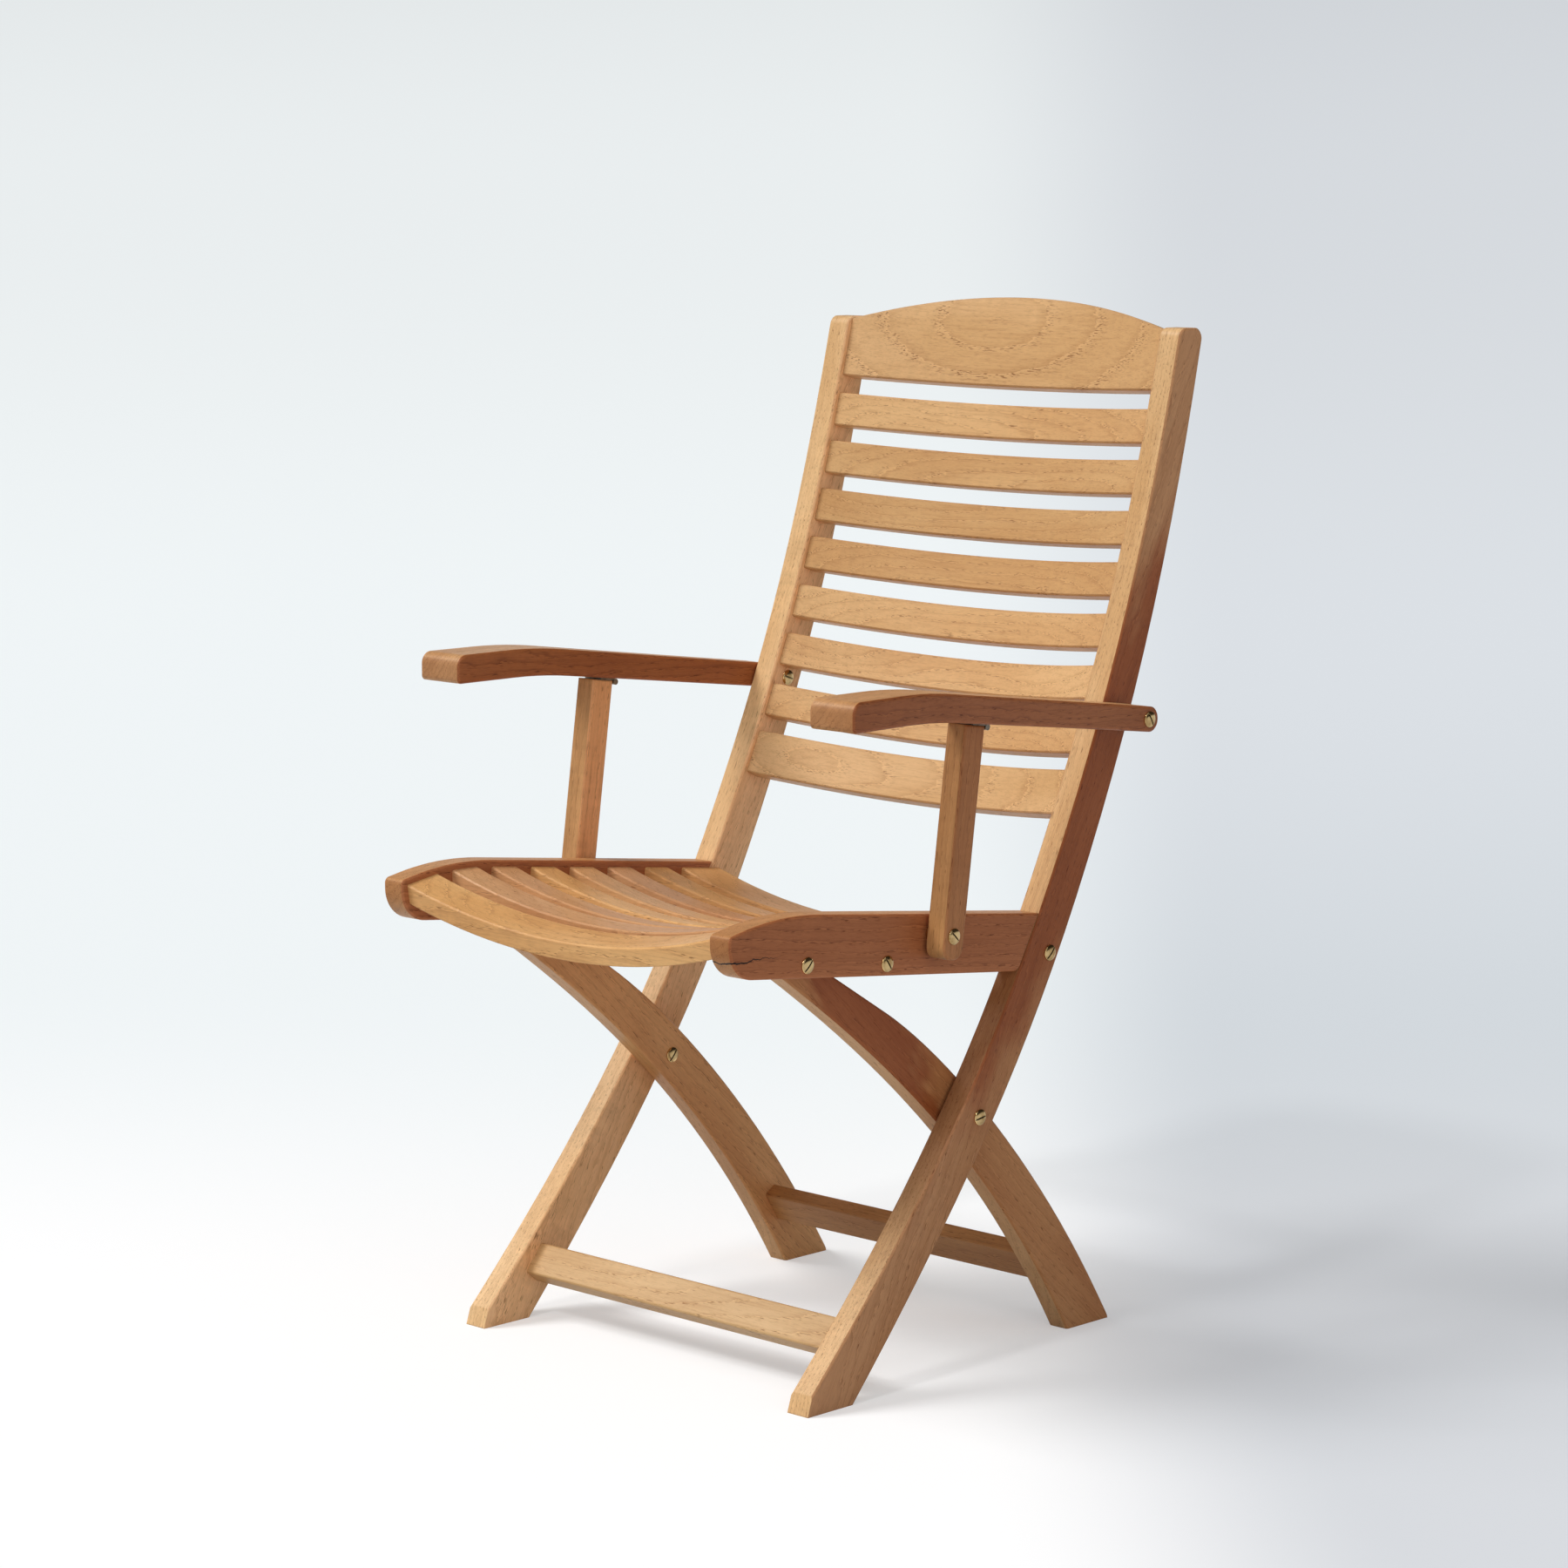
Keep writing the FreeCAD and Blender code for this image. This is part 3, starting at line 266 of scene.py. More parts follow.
def place_in_board(tree, node, heading, where):
    """The place from the board's middle, turned so that X runs along its grain."""
    low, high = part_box(node)
    centred = steer(tree, "SUBTRACT", where, tuple((low + high) / 2))
    turn = tree.nodes.new("ShaderNodeMapping")
    along = (1.0, 0.0, 0.0)
    if heading is not CROSSWISE:
        slope = math.radians(heading)
        turn.inputs["Rotation"].default_value = (-slope, 0.0, math.radians(-90))
        along = (0.0, math.cos(slope), math.sin(slope))
    feed(tree, centred, turn.inputs["Vector"])
    return turn.outputs[0], along


def side_tone_and_light(tree, color, grain, middle, side, heart_tint):
    """The colour of a board's broad sides, partly wood tone and partly painted light and shade, darker
    where they show heartwood.
    """
    shade = tuple(a / b for a, b in zip(tone(*side)[:3], tone(*middle)[:3]))
    broad = tinted(tree, color, shade)
    deep = tinted(tree, broad, tone(*heart_tint)[:3])
    return blend(tree, grain.outputs["Heartwood"], broad, deep)


def paint_front_shade(tree, color, faces, where, low, high):
    """Painted shade on a board's front between two heights, as a darker, redder tint."""
    rise, fall = 0.18, 0.03
    height = parts_of(tree, where)[2]
    stretch = reckon(tree, "MULTIPLY", ramp(tree, height, low, low + rise),
                     ramp(tree, height, high, high + fall, 1.0, 0.0))
    stretch = reckon(tree, "MULTIPLY", stretch, reckon(tree, "SUBTRACT", 1.0, faces.outputs["Side"]))
    return blend(tree, stretch, color, tinted(tree, color, (0.56, 0.42, 0.38)))


def fine_split(tree, color, where, start, end, level, width):
    """A hairline drying crack along +Y that thins out to nothing."""
    crack_color = (0.02, 0.01, 0.006, 1.0)
    sway = 0.010
    axis = parts_of(tree, where)
    wander = cloud(tree, where, (60.0, 60.0, 10.0), 3.0)[0]
    wander = reckon(tree, "MULTIPLY_ADD", wander, sway, level - sway / 2)
    off = reckon(tree, "ABSOLUTE", reckon(tree, "SUBTRACT", axis[2], wander))
    run = ramp(tree, axis[1], start, end)
    half = reckon(tree, "MULTIPLY", reckon(tree, "SUBTRACT", 1.0, run), width)
    return blend(tree, reckon(tree, "LESS_THAN", off, half), color, crack_color)


def dress(node, material):
    """Gives a piece of the chair its material."""
    mesh = nodes[node].data
    if not mesh.materials:
        mesh.materials.append(material)
    for slot in nodes[node].material_slots:
        slot.material = material


def teak(node, seed, heading, light, middle, dark, pith, taper, ring, figure, pores=0.7, ripple=0.2,
         side=None, heart=NO_HEART, edge=(1.2, 1.16, 1.1), round_off=0.002, gloss=0.2, split=None,
         front_shade_span=None):
    """Oiled teak for one board, its grain at a heading above +Y in degrees, or CROSSWISE."""
    material = bpy.data.materials.new("Teak " + node.replace("_", " "))
    material.use_nodes = True
    tree = material.node_tree
    shader = tree.nodes["Principled BSDF"]
    source = tree.nodes.new("ShaderNodeTexCoord").outputs
    where = source["Object"]
    place, along = place_in_board(tree, node, heading, where)

    bevel = tree.nodes.new("ShaderNodeBevel")
    bevel.samples = 4
    bevel.inputs["Radius"].default_value = round_off
    solid = tree.nodes.new("ShaderNodeNewGeometry")
    faces = tree.nodes.new("ShaderNodeGroup")
    faces.node_tree = board_faces
    for label, value in (("Normal", source["Normal"]), ("Rounded", bevel.outputs[0]),
                         ("Flat", solid.outputs["Normal"]), ("Along", along),
                         ("Across", (1.0, 0.0, 0.0))):
        feed(tree, value, faces.inputs[label])
    grain = tree.nodes.new("ShaderNodeGroup")
    grain.node_tree = teak_grain
    for label, value in (("Place", place), ("Seed", seed), ("Light", tone(*light)),
                         ("Middle", tone(*middle)), ("Dark", tone(*dark)), ("Pith", pith),
                         ("Taper", taper), ("Ring Width", ring), ("Figure", figure),
                         ("Pores", pores), ("Ripple", ripple), ("Heart Place", heart[0]),
                         ("Heart Reach", heart[1])):
        feed(tree, value, grain.inputs[label])

    end_share, edge_share, end_roughness = 0.6, 0.8, 0.12
    color = grain.outputs["Color"]
    # Broad sides get a tone of their own that partly paints the light and shade on them: darker on most
    # boards, lighter on some right-hand ones.
    if side is not None:
        broad = side_tone_and_light(tree, color, grain, middle, side, heart[2])
        color = blend(tree, faces.outputs["Side"], color, broad)
    # Where a span of heights is given, the front is darkened there as painted shade.
    if front_shade_span is not None:
        color = paint_front_shade(tree, color, faces, where, *front_shade_span)
    ends = tinted(tree, color, (0.62, 0.50, 0.42))
    color = blend(tree, reckon(tree, "MULTIPLY", faces.outputs["End"], end_share), color, ends)
    # Rounded edges take a tint: lighter tints are partly wear and partly painted highlight, strongest on
    # the seat rails and armrests, and the slats' darker tints are a plain tint.
    edge_tinted = tinted(tree, color, edge)
    color = blend(tree, reckon(tree, "MULTIPLY", faces.outputs["Edge"], edge_share), color, edge_tinted)
    if split is not None:
        color = fine_split(tree, color, where, **split)
    feed(tree, color, shader.inputs["Base Color"])
    rough = reckon(tree, "MULTIPLY_ADD", faces.outputs["End"], end_roughness, grain.outputs["Roughness"])
    feed(tree, rough, shader.inputs["Roughness"])
    bump = tree.nodes.new("ShaderNodeBump")
    bump.inputs["Strength"].default_value = 0.45
    bump.inputs["Distance"].default_value = 0.0003
    feed(tree, grain.outputs["Height"], bump.inputs["Height"])
    feed(tree, bevel.outputs[0], bump.inputs["Normal"])
    feed(tree, bump.outputs[0], shader.inputs["Normal"])
    shader.inputs["Specular IOR Level"].default_value = gloss
    dress(node, material)


STILE_SLOPE = 62.6
STILE_PITH = (0.0, 0.16, 0.03)
# The left stile's front below the seat rail is darkened as painted shade from the rail.
SHADE_BELOW_THE_RAIL = (0.08, 0.41)
# The darker heartwood patch on its broad side is partly painted shade from the armrest and seat rail.
teak("stile_left", 1.3, STILE_SLOPE, light=(228, 186, 134), middle=(214, 168, 114),
     dark=(158, 104, 58), side=(192, 136, 90), pith=STILE_PITH, taper=0.02, ring=0.0046, figure=0.5,
     pores=0.8, ripple=0.35, heart=(-0.10, 0.30, (214, 172, 148)), front_shade_span=SHADE_BELOW_THE_RAIL)
teak("stile_right", 4.7, STILE_SLOPE, light=(240, 200, 148), middle=(226, 182, 128),
     dark=(170, 116, 68), side=(244, 192, 138), pith=STILE_PITH, taper=0.02, ring=0.0046,
     figure=0.45, pores=0.8, ripple=0.5)

# The crossing legs run from the rear feet to the front of the seat. Each is one
# curved teak board, bolted through the stile where the two cross.
LEG_SLOPE = -43.0
teak("leg_left", 7.9, LEG_SLOPE, light=(220, 172, 116), middle=(204, 150, 96),
     dark=(158, 104, 58), side=(188, 126, 78), pith=(0.1, 0.09, 0.10), taper=0.04, ring=0.007,
     figure=0.4, heart=(-0.14, 0.14, (212, 174, 156)))
teak("leg_right", 10.4, LEG_SLOPE, light=(224, 176, 120), middle=(210, 156, 102),
     dark=(160, 104, 58), side=(222, 160, 104), pith=(-0.1, 0.09, 0.10), taper=0.04, ring=0.007,
     figure=0.4)

# The stretchers are straight teak bars that reach from side to side, one between the
# stiles in front and one between the crossing legs behind. The front one is pale, the
# rear one brown.
teak("front_stretcher", 2.2, CROSSWISE, light=(216, 178, 128), middle=(202, 160, 108),
     dark=(168, 118, 70), pith=(-0.2, 0.02, 0.01), taper=0.12, ring=0.007, figure=0.4)
teak("rear_stretcher", 3.1, CROSSWISE, light=(204, 150, 96), middle=(188, 132, 80),
     dark=(132, 82, 44), pith=(-0.1, 0.03, 0.06), taper=0.05, ring=0.006, figure=0.3)

# The seat rails are the deep teak boards at the seat's sides, which hold the slats
# between them. They are crowned at the nose and brown, with edges tinted pale as painted
# highlight and some wear, and a fine drying crack runs back from the left rail's nose.
RAIL_SLOPE = -7.0
NOSE_SPLIT = {"start": -0.36, "end": -0.27, "level": 0.4565, "width": 0.0009}
for word, seed, split in (("left", 12.6, NOSE_SPLIT), ("right", 15.8, None)):
    teak("seat_rail_" + word, seed, RAIL_SLOPE, light=(210, 154, 100), middle=(196, 138, 86),
         dark=(130, 80, 44), side=(180, 110, 68), pith=(0.1, 0.05, 0.09), taper=0.05, ring=0.008,
         figure=0.45, pores=0.8, ripple=0.25, edge=(1.5, 1.48, 1.45), round_off=0.003, split=split)

# The seat slats are dished teak strips between the seat rails, orange brown under the
# oil. Each is a piece of its own board, so each has its own grain and warmth.
SEAT_SLATS = 8
SEAT_WARMTH = 8
# Their rounded edges are tinted lighter and warmer, partly as wear and partly as painted highlight.
for number in range(1, SEAT_SLATS + 1):
    pith = (0.12 * math.sin(number * 2.3), 0.02, -0.03 - 0.02 * math.cos(number * 1.7))
    warm = SEAT_WARMTH * math.sin(number * 1.9)
    teak("seat_slat_%d" % number, 20.0 + number * 1.7, CROSSWISE,
         light=(226 + warm, 176 + warm, 122), middle=(212 + warm, 156 + warm, 102),
         dark=(154, 98, 52), pith=pith, taper=0.09, ring=0.008, figure=0.4, ripple=0.25,
         edge=(1.16, 1.08, 0.98), round_off=0.0016)

# The back slats are bowed teak strips between the stiles, with a broader one at the
# bottom. Their rounded edges are tinted darker than their faces.
BACK_SLATS = 7
BACK_WARMTH = 8
DARKER_EDGES = (0.58, 0.40, 0.28)
for number in range(1, BACK_SLATS + 1):
    pith = (0.16 * math.sin(number * 2.9 + 1.0), -0.01, 0.03 * math.cos(number * 2.1))
    warm = BACK_WARMTH * math.sin((number - 4.5) * math.pi / 3)
    teak("back_slat_%d" % number, 40.0 + number * 2.3, CROSSWISE,
         light=(224 + warm, 180 + warm, 126 + warm), middle=(212 + warm, 164 + warm, 110 + warm),
         dark=(164, 110, 62), pith=pith, taper=0.14, ring=0.008, figure=0.4, edge=DARKER_EDGES,
         round_off=0.0016)
teak("lower_back_slat", 61.0, CROSSWISE, light=(230, 188, 136), middle=(216, 172, 118),
     dark=(170, 118, 70), pith=(-0.12, -0.01, 0.01), taper=0.25, ring=0.014, figure=0.4,
     edge=DARKER_EDGES, round_off=0.0016)

# The crest rail joins the heads of the stiles. It is cut from a wide flat-sawn teak
# board and bowed like the slats. Its face shows the oval figure of a board sawn near
# the bark, and its edges are tinted darker.
teak("crest_rail", 70.0, CROSSWISE, light=(226, 182, 130), middle=(214, 168, 114),
     dark=(164, 112, 64), pith=(-0.03, 0.0, 0.026), taper=0.42, ring=0.030, figure=0.34, pores=0.9,
     edge=DARKER_EDGES)

# The armrests are thick teak boards, wide in front and narrowed to a tongue that is
# bolted to the stile. They are the brownest and the most polished boards.
ARM_SLOPE = -3.0
# Their rounded edges are tinted much lighter as a painted highlight, with some wear.
for word, seed in (("left", 80.0), ("right", 83.0)):
    teak("armrest_" + word, seed, ARM_SLOPE, light=(212, 160, 108), middle=(196, 140, 88),
         dark=(126, 76, 40), side=(158, 89, 46), pith=(0.0, 0.07, 0.07), taper=0.04, ring=0.0048,
         figure=0.6, pores=0.8, ripple=0.25, edge=(1.6, 1.55, 1.5), round_off=0.004, gloss=0.3)

# The posts are upright teak bars that hold up the armrests. Each hangs from a hinge
# under its armrest and is bolted to the outside of its seat rail.
POST_SLOPE = 82.0
teak("post_left", 90.0, POST_SLOPE, light=(196, 146, 94), middle=(178, 126, 78),
     dark=(124, 78, 42), side=(176, 114, 70), pith=(0.0, 0.05, 0.06), taper=0.04, ring=0.006,
     figure=0.45, ripple=0.3, round_off=0.003)
teak("post_right", 93.0, POST_SLOPE, light=(212, 160, 106), middle=(194, 140, 86),
     dark=(140, 88, 46), side=(228, 164, 108), pith=(0.0, 0.05, 0.06), taper=0.04, ring=0.006,
     figure=0.5, ripple=0.4, round_off=0.003)

# Small steel hinges join the posts to the armrests, and flat steel straps tie the
# seat rails to the stiles. Both are zinc plated and dulled by handling.


def metal(name, base, dull, grey, rough):
    """A metal with fine drawn lines, dull patches, and its corners darkened as painted shade with some
    grime.
    """
    line_share, dulling, recess_roughness = 0.12, 0.14, 0.4
    shade_and_grime_color = (0.03, 0.02, 0.012, 1.0)
    material = bpy.data.materials.new(name)
    material.use_nodes = True
    tree = material.node_tree
    shader = tree.nodes["Principled BSDF"]
    where = tree.nodes.new("ShaderNodeTexCoord").outputs["Object"]
    patch = cloud(tree, where, (90.0, 90.0, 90.0), 4.0)[0]
    lines = cloud(tree, where, (2500.0, 300.0, 2500.0), 3.0)[0]
    color = blend(tree, ramp(tree, patch, 0.4, 0.75), tone(*base), tone(*dull))
    color = blend(tree, reckon(tree, "MULTIPLY", lines, line_share), color, tone(*grey))
    # Occlusion darkens the corners and slots: painted shade, with some grime.
    corner = tree.nodes.new("ShaderNodeAmbientOcclusion")
    corner.only_local = True
    corner.samples = 8
    corner.inputs["Distance"].default_value = 0.002
    shade_and_grime = ramp(tree, corner.outputs["AO"], 0.45, 0.95, 0.85, 0.0)
    feed(tree, blend(tree, shade_and_grime, color, shade_and_grime_color), shader.inputs["Base Color"])
    rough = ramp(tree, patch, 0.3, 0.8, rough, rough + dulling)
    rough = reckon(tree, "MULTIPLY_ADD", shade_and_grime, recess_roughness, rough)
    feed(tree, rough, shader.inputs["Roughness"])
    bevel = tree.nodes.new("ShaderNodeBevel")
    bevel.samples = 4
    bevel.inputs["Radius"].default_value = 0.0004
    bump = tree.nodes.new("ShaderNodeBump")
    bump.inputs["Strength"].default_value = 0.15
    bump.inputs["Distance"].default_value = 0.00005
    feed(tree, lines, bump.inputs["Height"])
    feed(tree, bevel.outputs[0], bump.inputs["Normal"])
    feed(tree, bump.outputs[0], shader.inputs["Normal"])
    shader.inputs["Metallic"].default_value = 1.0
    return material


zinc = metal("Zinc plated steel", base=(138, 130, 118), dull=(92, 84, 74), grey=(70, 64, 58), rough=0.38)
for word in ("left", "right"):
    for part in ("hinge_leaf_upper_", "hinge_leaf_lower_", "strap_"):
        dress(part + word, zinc)

# Brass bolts and screws hold the boards: a low domed head with one slot on a plain
# shank, with brass washers at the pivots. The heads are polished, and their slots and
# corners are darkened as painted shade with some grime.
brass = metal("Polished brass", base=(226, 194, 138), dull=(158, 122, 72), grey=(96, 70, 38), rough=0.07)
HEAD_RADIUS = 0.0082
HEAD_HEIGHT = 0.0028
RIM_HEIGHT = 0.0007
HEAD_SIDES = 48
DOME_RINGS = 24
SLOT_WIDTH = 0.0017
SLOT_DEPTH = 0.0016
SHANK_RADIUS = 0.004
SHANK_SIDES = 32
SHARP_ANGLE = 35.0


def make_head(tree, given):
    """One slotted head, with its flat under side at the origin and its dome along +Z."""
    radius, height = given["Head Radius"], given["Head Height"]
    rim = given["Rim Height"]

    def moved(shape, shift, scale=None):
        """The shape set at a place, and scaled where a scale is given."""
        node = tree.nodes.new("GeometryNodeTransform")
        feed(tree, shape, node.inputs["Geometry"])
        feed(tree, shift, node.inputs["Translation"])
        feed(tree, scale, node.inputs["Scale"])
        return node.outputs[0]

    def lifted(shape, rise):
        """The shape moved up by a value."""
        return moved(shape, triple_of(tree, 0.0, 0.0, rise))

    dome = tree.nodes.new("GeometryNodeMeshUVSphere")
    dome.inputs["Segments"].default_value = HEAD_SIDES
    dome.inputs["Rings"].default_value = DOME_RINGS
    dome.inputs["Radius"].default_value = 1.0
    dome_scale = triple_of(tree, radius, radius, reckon(tree, "SUBTRACT", height, rim))
    dome = moved(dome.outputs["Mesh"], triple_of(tree, 0.0, 0.0, rim), dome_scale)
    disc = tree.nodes.new("GeometryNodeMeshCylinder")
    disc.inputs["Vertices"].default_value = HEAD_SIDES
    feed(tree, radius, disc.inputs["Radius"])
    feed(tree, rim, disc.inputs["Depth"])
    disc = lifted(disc.outputs["Mesh"], reckon(tree, "MULTIPLY", rim, 0.5))
    both = tree.nodes.new("GeometryNodeMeshBoolean")
    both.operation = "UNION"
    feed(tree, dome, both.inputs["Mesh"])
    feed(tree, disc, both.inputs["Mesh"])

    wide = reckon(tree, "MULTIPLY", radius, 3.0)
    below = tree.nodes.new("GeometryNodeMeshCube")
    feed(tree, triple_of(tree, wide, wide, wide), below.inputs["Size"])
    below = lifted(below.outputs["Mesh"], reckon(tree, "MULTIPLY", wide, -0.5))
    slot = tree.nodes.new("GeometryNodeMeshCube")
    feed(tree, triple_of(tree, wide, given["Slot Width"], wide), slot.inputs["Size"])
    slot_floor = reckon(tree, "SUBTRACT", height, given["Slot Depth"])
    half = reckon(tree, "MULTIPLY", wide, 0.5)
    slot = lifted(slot.outputs["Mesh"], reckon(tree, "ADD", slot_floor, half))
    head = tree.nodes.new("GeometryNodeMeshBoolean")
    head.operation = "DIFFERENCE"
    feed(tree, both.outputs["Mesh"], head.inputs["Mesh 1"])
    feed(tree, below, head.inputs["Mesh 2"])
    feed(tree, slot, head.inputs["Mesh 2"])
    return head.outputs["Mesh"]


def make_shank(tree, given):
    """A shank one metre long below the origin, to be scaled to its length."""
    shank = tree.nodes.new("GeometryNodeMeshCylinder")
    shank.inputs["Vertices"].default_value = SHANK_SIDES
    feed(tree, given["Shank Radius"], shank.inputs["Radius"])
    shank.inputs["Depth"].default_value = 1.0
    hung = tree.nodes.new("GeometryNodeTransform")
    feed(tree, shank.outputs["Mesh"], hung.inputs["Geometry"])
    hung.inputs["Translation"].default_value = (0.0, 0.0, -0.5)
    return hung.outputs[0]


def named_value(tree, name, kind):
    """A value that each point holds under a name."""
    node = tree.nodes.new("GeometryNodeInputNamedAttribute")
    node.data_type = kind
    node.inputs["Name"].default_value = name
    return node.outputs["Attribute"]


def make_bolt_tree():
    """Slotted heads and their shanks, one of each for every given point."""
    tree = bpy.data.node_groups.new("SlottedBolts", "GeometryNodeTree")
    face = tree.interface
    face.new_socket("Geometry", in_out="INPUT", socket_type="NodeSocketGeometry")
    for label in ("Head Radius", "Head Height", "Rim Height", "Slot Width", "Slot Depth", "Shank Radius"):
        face.new_socket(label, in_out="INPUT", socket_type="NodeSocketFloat")
    face.new_socket("Finish", in_out="INPUT", socket_type="NodeSocketMaterial")
    face.new_socket("Geometry", in_out="OUTPUT", socket_type="NodeSocketGeometry")
    given = tree.nodes.new("NodeGroupInput").outputs
    result = tree.nodes.new("NodeGroupOutput").inputs
    turn = tree.nodes.new("FunctionNodeEulerToRotation")
    feed(tree, named_value(tree, "facing", "FLOAT_VECTOR"), turn.inputs[0])
    long = triple_of(tree, 1.0, 1.0, named_value(tree, "reach", "FLOAT"))
    placed = []
    for shape, scale in ((make_head(tree, given), None), (make_shank(tree, given), long)):
        node = tree.nodes.new("GeometryNodeInstanceOnPoints")
        feed(tree, given["Geometry"], node.inputs["Points"])
        feed(tree, shape, node.inputs["Instance"])
        feed(tree, turn.outputs[0], node.inputs["Rotation"])
        feed(tree, scale, node.inputs["Scale"])
        placed.append(node.outputs["Instances"])
    together = tree.nodes.new("GeometryNodeJoinGeometry")
    for item in placed:
        feed(tree, item, together.inputs[0])
    real = tree.nodes.new("GeometryNodeRealizeInstances")
    feed(tree, together.outputs[0], real.inputs[0])
    finish = tree.nodes.new("GeometryNodeSetMaterial")
    feed(tree, real.outputs[0], finish.inputs["Geometry"])
    feed(tree, given["Finish"], finish.inputs["Material"])
    feed(tree, finish.outputs[0], result[0])
    return tree


bolt_tree = make_bolt_tree()


def bolt_points(name, heads):
    """A point for each head, which holds how it is turned and how long its shank is."""
    points = bpy.data.meshes.new(name + "_points")
    points.from_pydata([place for place, side, slot, reach in heads], [], [])
    points.attributes.new("facing", "FLOAT_VECTOR", "POINT")
    points.attributes.new("reach", "FLOAT", "POINT")
    for index, (place, side, slot, reach) in enumerate(heads):
        outward = Matrix.Rotation(math.radians(90 * side), 4, "Y")
        turn = outward @ Matrix.Rotation(math.radians(slot), 4, "Z")
        points.attributes["facing"].data[index].vector = turn.to_euler()
        points.attributes["reach"].data[index].value = reach
    return points


def slotted_bolts(name, body, replaced, heads):
    """Bolts as plain mesh: each head has a place, its side, a slot angle and a shank length."""
    holder = bpy.data.objects.new(name + "_holder", bolt_points(name, heads))
    bpy.context.scene.collection.objects.link(holder)
    modifier = holder.modifiers.new("Bolts", "NODES")
    modifier.node_group = bolt_tree
    sizes = {"Head Radius": HEAD_RADIUS, "Head Height": HEAD_HEIGHT, "Rim Height": RIM_HEIGHT,
             "Slot Width": SLOT_WIDTH, "Slot Depth": SLOT_DEPTH, "Shank Radius": SHANK_RADIUS,
             "Finish": brass}
    for item in bolt_tree.interface.items_tree:
        if item.in_out == "INPUT" and item.name in sizes:
            modifier[item.identifier] = sizes[item.name]
    ready = holder.evaluated_get(bpy.context.evaluated_depsgraph_get())
    mesh = bpy.data.meshes.new_from_object(ready)
    bpy.data.objects.remove(holder)
    mesh.materials.clear()
    mesh.materials.append(brass)
    for polygon in mesh.polygons:
        polygon.use_smooth = True
        polygon.material_index = 0
    mesh.set_sharp_from_angle(angle=math.radians(SHARP_ANGLE))
    piece = bpy.data.objects.new(name, mesh)
    bpy.context.scene.collection.objects.link(piece)
    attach(piece, body)
    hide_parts(*replaced)


INNER_STUB = 0.0005
INNER_TURN = 40.0
POST_SLOT = 45.0
for name, body, start, inner_head, slot in (
        ("crossing_bolts", "back_frame", "leg_left", True, 100.0),
        ("leg_bolts", "seat", "leg_left", True, 135.0),
        ("rail_screws", "seat", "strap_left", False, 35.0),
        ("strap_bolts", "back_frame", "stile_left", False, 135.0),
        ("arm_bolts", "back_frame", "stile_left", True, 30.0)):
    low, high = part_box(name)
    y, z = (low.y + high.y) / 2, (low.z + high.z) / 2
    face = high.x - HEAD_HEIGHT
    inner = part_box(start)[0].x
    heads = []
    for side in (1, -1):
        heads.append(((side * face, y, z), side, slot * side, face - inner))
        if inner_head:
            heads.append(((side * inner, y, z), -side, slot + INNER_TURN, INNER_STUB))
    slotted_bolts("brass_" + name, body, [name], heads)
for word, side in (("left", 1), ("right", -1)):
    low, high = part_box("post_bolt_" + word)
    face = max(abs(low.x), abs(high.x)) - HEAD_HEIGHT
    depth = face - min(abs(low.x), abs(high.x))
    place = (side * face, (low.y + high.y) / 2, (low.z + high.z) / 2)
    slotted_bolts("brass_post_bolt_" + word, "arm_post_" + word, ["post_bolt_" + word],
                  [(place, side, POST_SLOT * side, depth)])
    dress("post_washer_" + word, brass)
for name in ("crossing_washers", "leg_washers", "arm_washers"):
    dress(name, brass)

# The chair stands on a plain pale floor that runs out of sight into a pale room, with
# painted shade further off and a little to the right. A small lamp in front and a broad
# one to the left light it, and a weak one to the right and the room fill the shadows.
bpy.context.scene.view_settings.view_transform = "Standard"
FLOOR_HALF = 60.0
STANDOFF = 4.4
TO_THE_RIGHT = (0.717, 0.697, 0.0)
AWAY = (-0.697, 0.717, 0.0)
UP = (0.0, 0.0, 1.0)
NEAR_GROUND = (1.0, 1.0, 1.0, 1.0)
MIDDLE_GROUND = (0.865, 0.905, 0.915, 1.0)
FAR_GROUND = (0.82, 0.855, 0.865, 1.0)
SHADY_NEAR = (0.69, 0.71, 0.74, 1.0)
SHADY_FAR = (0.82, 0.82, 0.85, 1.0)
SHADE_START = 0.03
SHADE_END = 0.10


def seen_directly(tree):
    """One for what the camera and mirror-like surfaces see, nought for what lights the chair."""
    path = tree.nodes.new("ShaderNodeLightPath").outputs
    return reckon(tree, "MAXIMUM", path["Is Camera Ray"], path["Is Glossy Ray"])


def floor_colors(tree):
    """The floor's colour by its place in the picture and how far it has gone out of sight, with painted
    shade further off and to the right.
    """
    where = tree.nodes.new("ShaderNodeTexCoord").outputs["Object"]
    distance = steer(tree, "LENGTH", where)
    reach = reckon(tree, "ADD", distance, STANDOFF)
    lean = reckon(tree, "DIVIDE", steer(tree, "DOT_PRODUCT", where, TO_THE_RIGHT), reach)
    back = reckon(tree, "DIVIDE", steer(tree, "DOT_PRODUCT", where, AWAY), reach)
    far = reckon(tree, "DIVIDE", distance, reach)
    ground = blend(tree, ramp(tree, back, 0.02, 0.30), NEAR_GROUND, MIDDLE_GROUND)
    ground = blend(tree, ramp(tree, far, 0.62, 0.97), ground, FAR_GROUND)
    shade = blend(tree, ramp(tree, back, 0.0, 0.6), SHADY_NEAR, SHADY_FAR)
    shaded = blend(tree, 1.0, ground, shade, "MULTIPLY")
    ground = blend(tree, ramp(tree, lean, SHADE_START, SHADE_END), ground, shaded)
    return ground, ramp(tree, far, 0.55, 0.85)


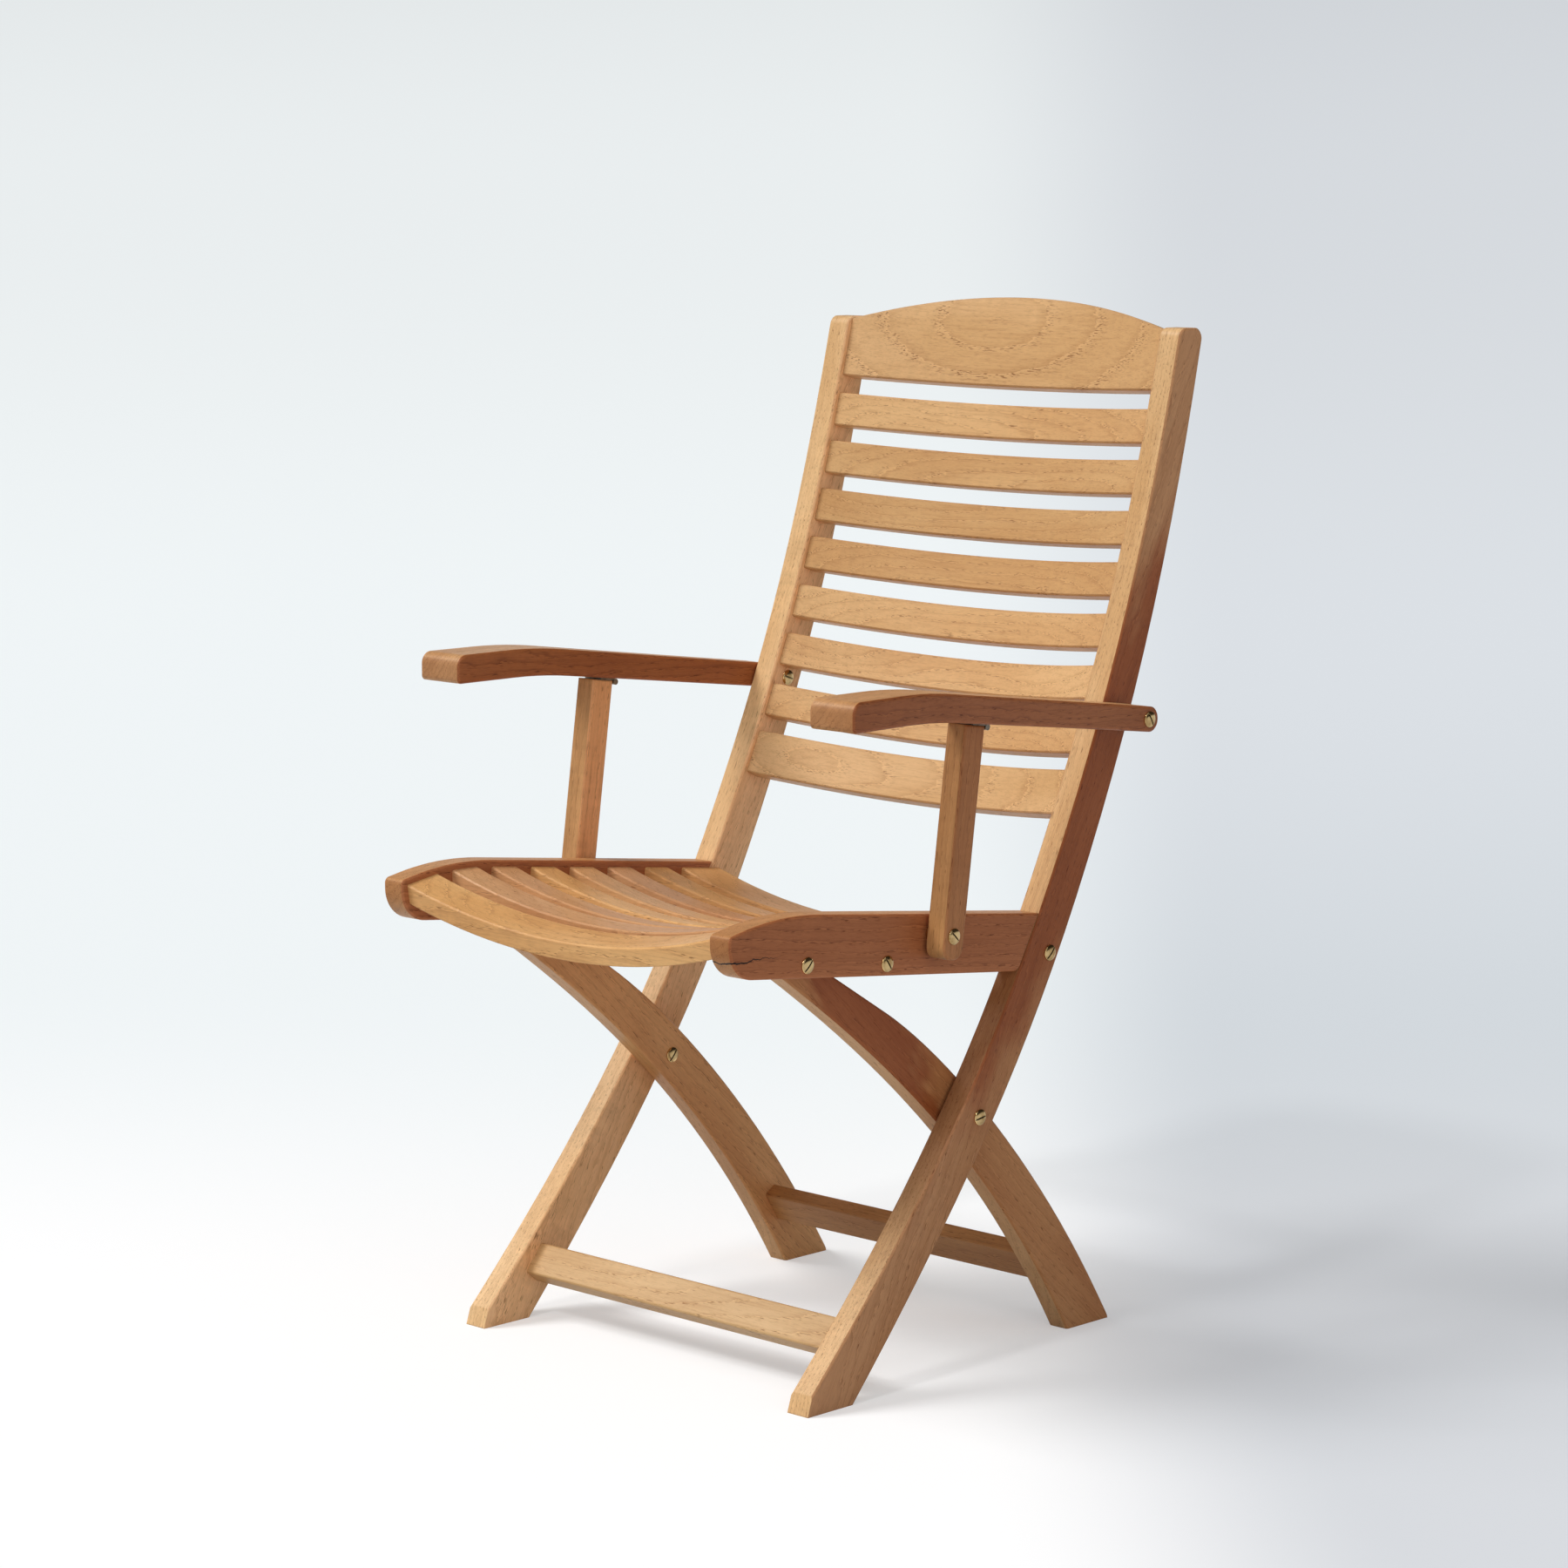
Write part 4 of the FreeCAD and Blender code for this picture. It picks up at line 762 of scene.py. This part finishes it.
def make_floor():
    """A plain floor that keeps the chair's shadow near it and fades to one even tone far off."""
    shadow_share = 0.66
    own_share = 0.40
    bounce_color = (0.6, 0.6, 0.6, 1.0)
    mesh = bpy.data.meshes.new("Floor")
    corners = [(-FLOOR_HALF, -FLOOR_HALF, 0), (FLOOR_HALF, -FLOOR_HALF, 0),
               (FLOOR_HALF, FLOOR_HALF, 0), (-FLOOR_HALF, FLOOR_HALF, 0)]
    mesh.from_pydata(corners, [], [(0, 1, 2, 3)])
    floor = bpy.data.objects.new("Floor", mesh)
    bpy.context.scene.collection.objects.link(floor)
    material = bpy.data.materials.new("Pale floor")
    material.use_nodes = True
    tree = material.node_tree
    shader = tree.nodes["Principled BSDF"]
    shader.inputs["Roughness"].default_value = 0.8
    shader.inputs["Specular IOR Level"].default_value = 0.0
    seen = seen_directly(tree)
    ground, fade = floor_colors(tree)
    white = tinted(tree, ground, (shadow_share, shadow_share, shadow_share))
    white = blend(tree, fade, white, (0.0, 0.0, 0.0, 1.0))
    feed(tree, blend(tree, seen, bounce_color, white), shader.inputs["Base Color"])
    feed(tree, ground, shader.inputs["Emission Color"])
    own_light = reckon(tree, "MULTIPLY_ADD", fade, 1.0 - own_share, own_share)
    feed(tree, reckon(tree, "MULTIPLY", seen, own_light), shader.inputs["Emission Strength"])
    mesh.materials.append(material)


def make_room():
    """A weak even light all round, and the pale walls that the camera and polished metal see."""
    upper_tint = (0.91, 0.91, 0.91)
    dark_ceiling = (0.05, 0.05, 0.055, 1.0)
    dark_wall = (0.04, 0.035, 0.03, 1.0)
    world = bpy.data.worlds.new("Pale room")
    bpy.context.scene.world = world
    world.use_nodes = True
    tree = world.node_tree
    fill = tree.nodes["Background"]
    fill.inputs["Color"].default_value = (0.95, 0.97, 1.0, 1.0)
    fill.inputs["Strength"].default_value = 0.24
    where = tree.nodes.new("ShaderNodeTexCoord").outputs["Generated"]
    right = steer(tree, "DOT_PRODUCT", where, TO_THE_RIGHT)
    height = steer(tree, "DOT_PRODUCT", where, UP)
    shaded = blend(tree, 1.0, FAR_GROUND, SHADY_FAR, "MULTIPLY")
    color = blend(tree, ramp(tree, right, SHADE_START, SHADE_END), FAR_GROUND, shaded)
    color = blend(tree, ramp(tree, height, -0.01, 0.07), color, tinted(tree, color, upper_tint))
    color = blend(tree, ramp(tree, height, 0.16, 0.5), color, dark_ceiling)
    beside = reckon(tree, "MULTIPLY", ramp(tree, right, 0.35, 0.6), ramp(tree, height, 0.0, 0.12))
    seen = tree.nodes.new("ShaderNodeBackground")
    feed(tree, blend(tree, beside, color, dark_wall), seen.inputs["Color"])
    mix = tree.nodes.new("ShaderNodeMixShader")
    feed(tree, seen_directly(tree), mix.inputs[0])
    feed(tree, fill.outputs[0], mix.inputs[1])
    feed(tree, seen.outputs[0], mix.inputs[2])
    feed(tree, mix.outputs[0], tree.nodes["World Output"].inputs["Surface"])


def make_lamp(name, energy, softness, left, height):
    """A far lamp at an angle to the left of the chair's front and above the floor."""
    lamp = bpy.data.lights.new(name, "SUN")
    lamp.energy = energy
    lamp.angle = math.radians(softness)
    thing = bpy.data.objects.new(name, lamp)
    left, height = math.radians(left), math.radians(height)
    level = math.cos(height)
    source = Vector((-math.sin(left) * level, -math.cos(left) * level, math.sin(height)))
    thing.rotation_euler = source.to_track_quat("Z", "Y").to_euler()
    bpy.context.scene.collection.objects.link(thing)


make_floor()
make_room()
make_lamp("Front lamp", energy=0.55, softness=7.0, left=-4.0, height=50.0)
make_lamp("Left lamp", energy=2.0, softness=26.0, left=47.0, height=48.0)
make_lamp("Right fill lamp", energy=0.5, softness=70.0, left=-62.0, height=30.0)

# The camera stands where the photograph was taken from, above the armrests and to
# the sitter's left front, and looks down a little.
CAMERA_PLACE = (3.0908, -3.2119, 1.2132)
CAMERA_DIP = 8.26
CAMERA_TURN = 44.15
LENS = 101.14
SENSOR = 36.0
camera_data = bpy.data.cameras.new("Camera")
camera_data.lens = LENS
camera_data.sensor_width = SENSOR
camera = bpy.data.objects.new("Camera", camera_data)
camera.location = CAMERA_PLACE
camera.rotation_euler = Euler((math.radians(90 - CAMERA_DIP), 0.0, math.radians(CAMERA_TURN)))
bpy.context.scene.collection.objects.link(camera)
bpy.context.scene.camera = camera
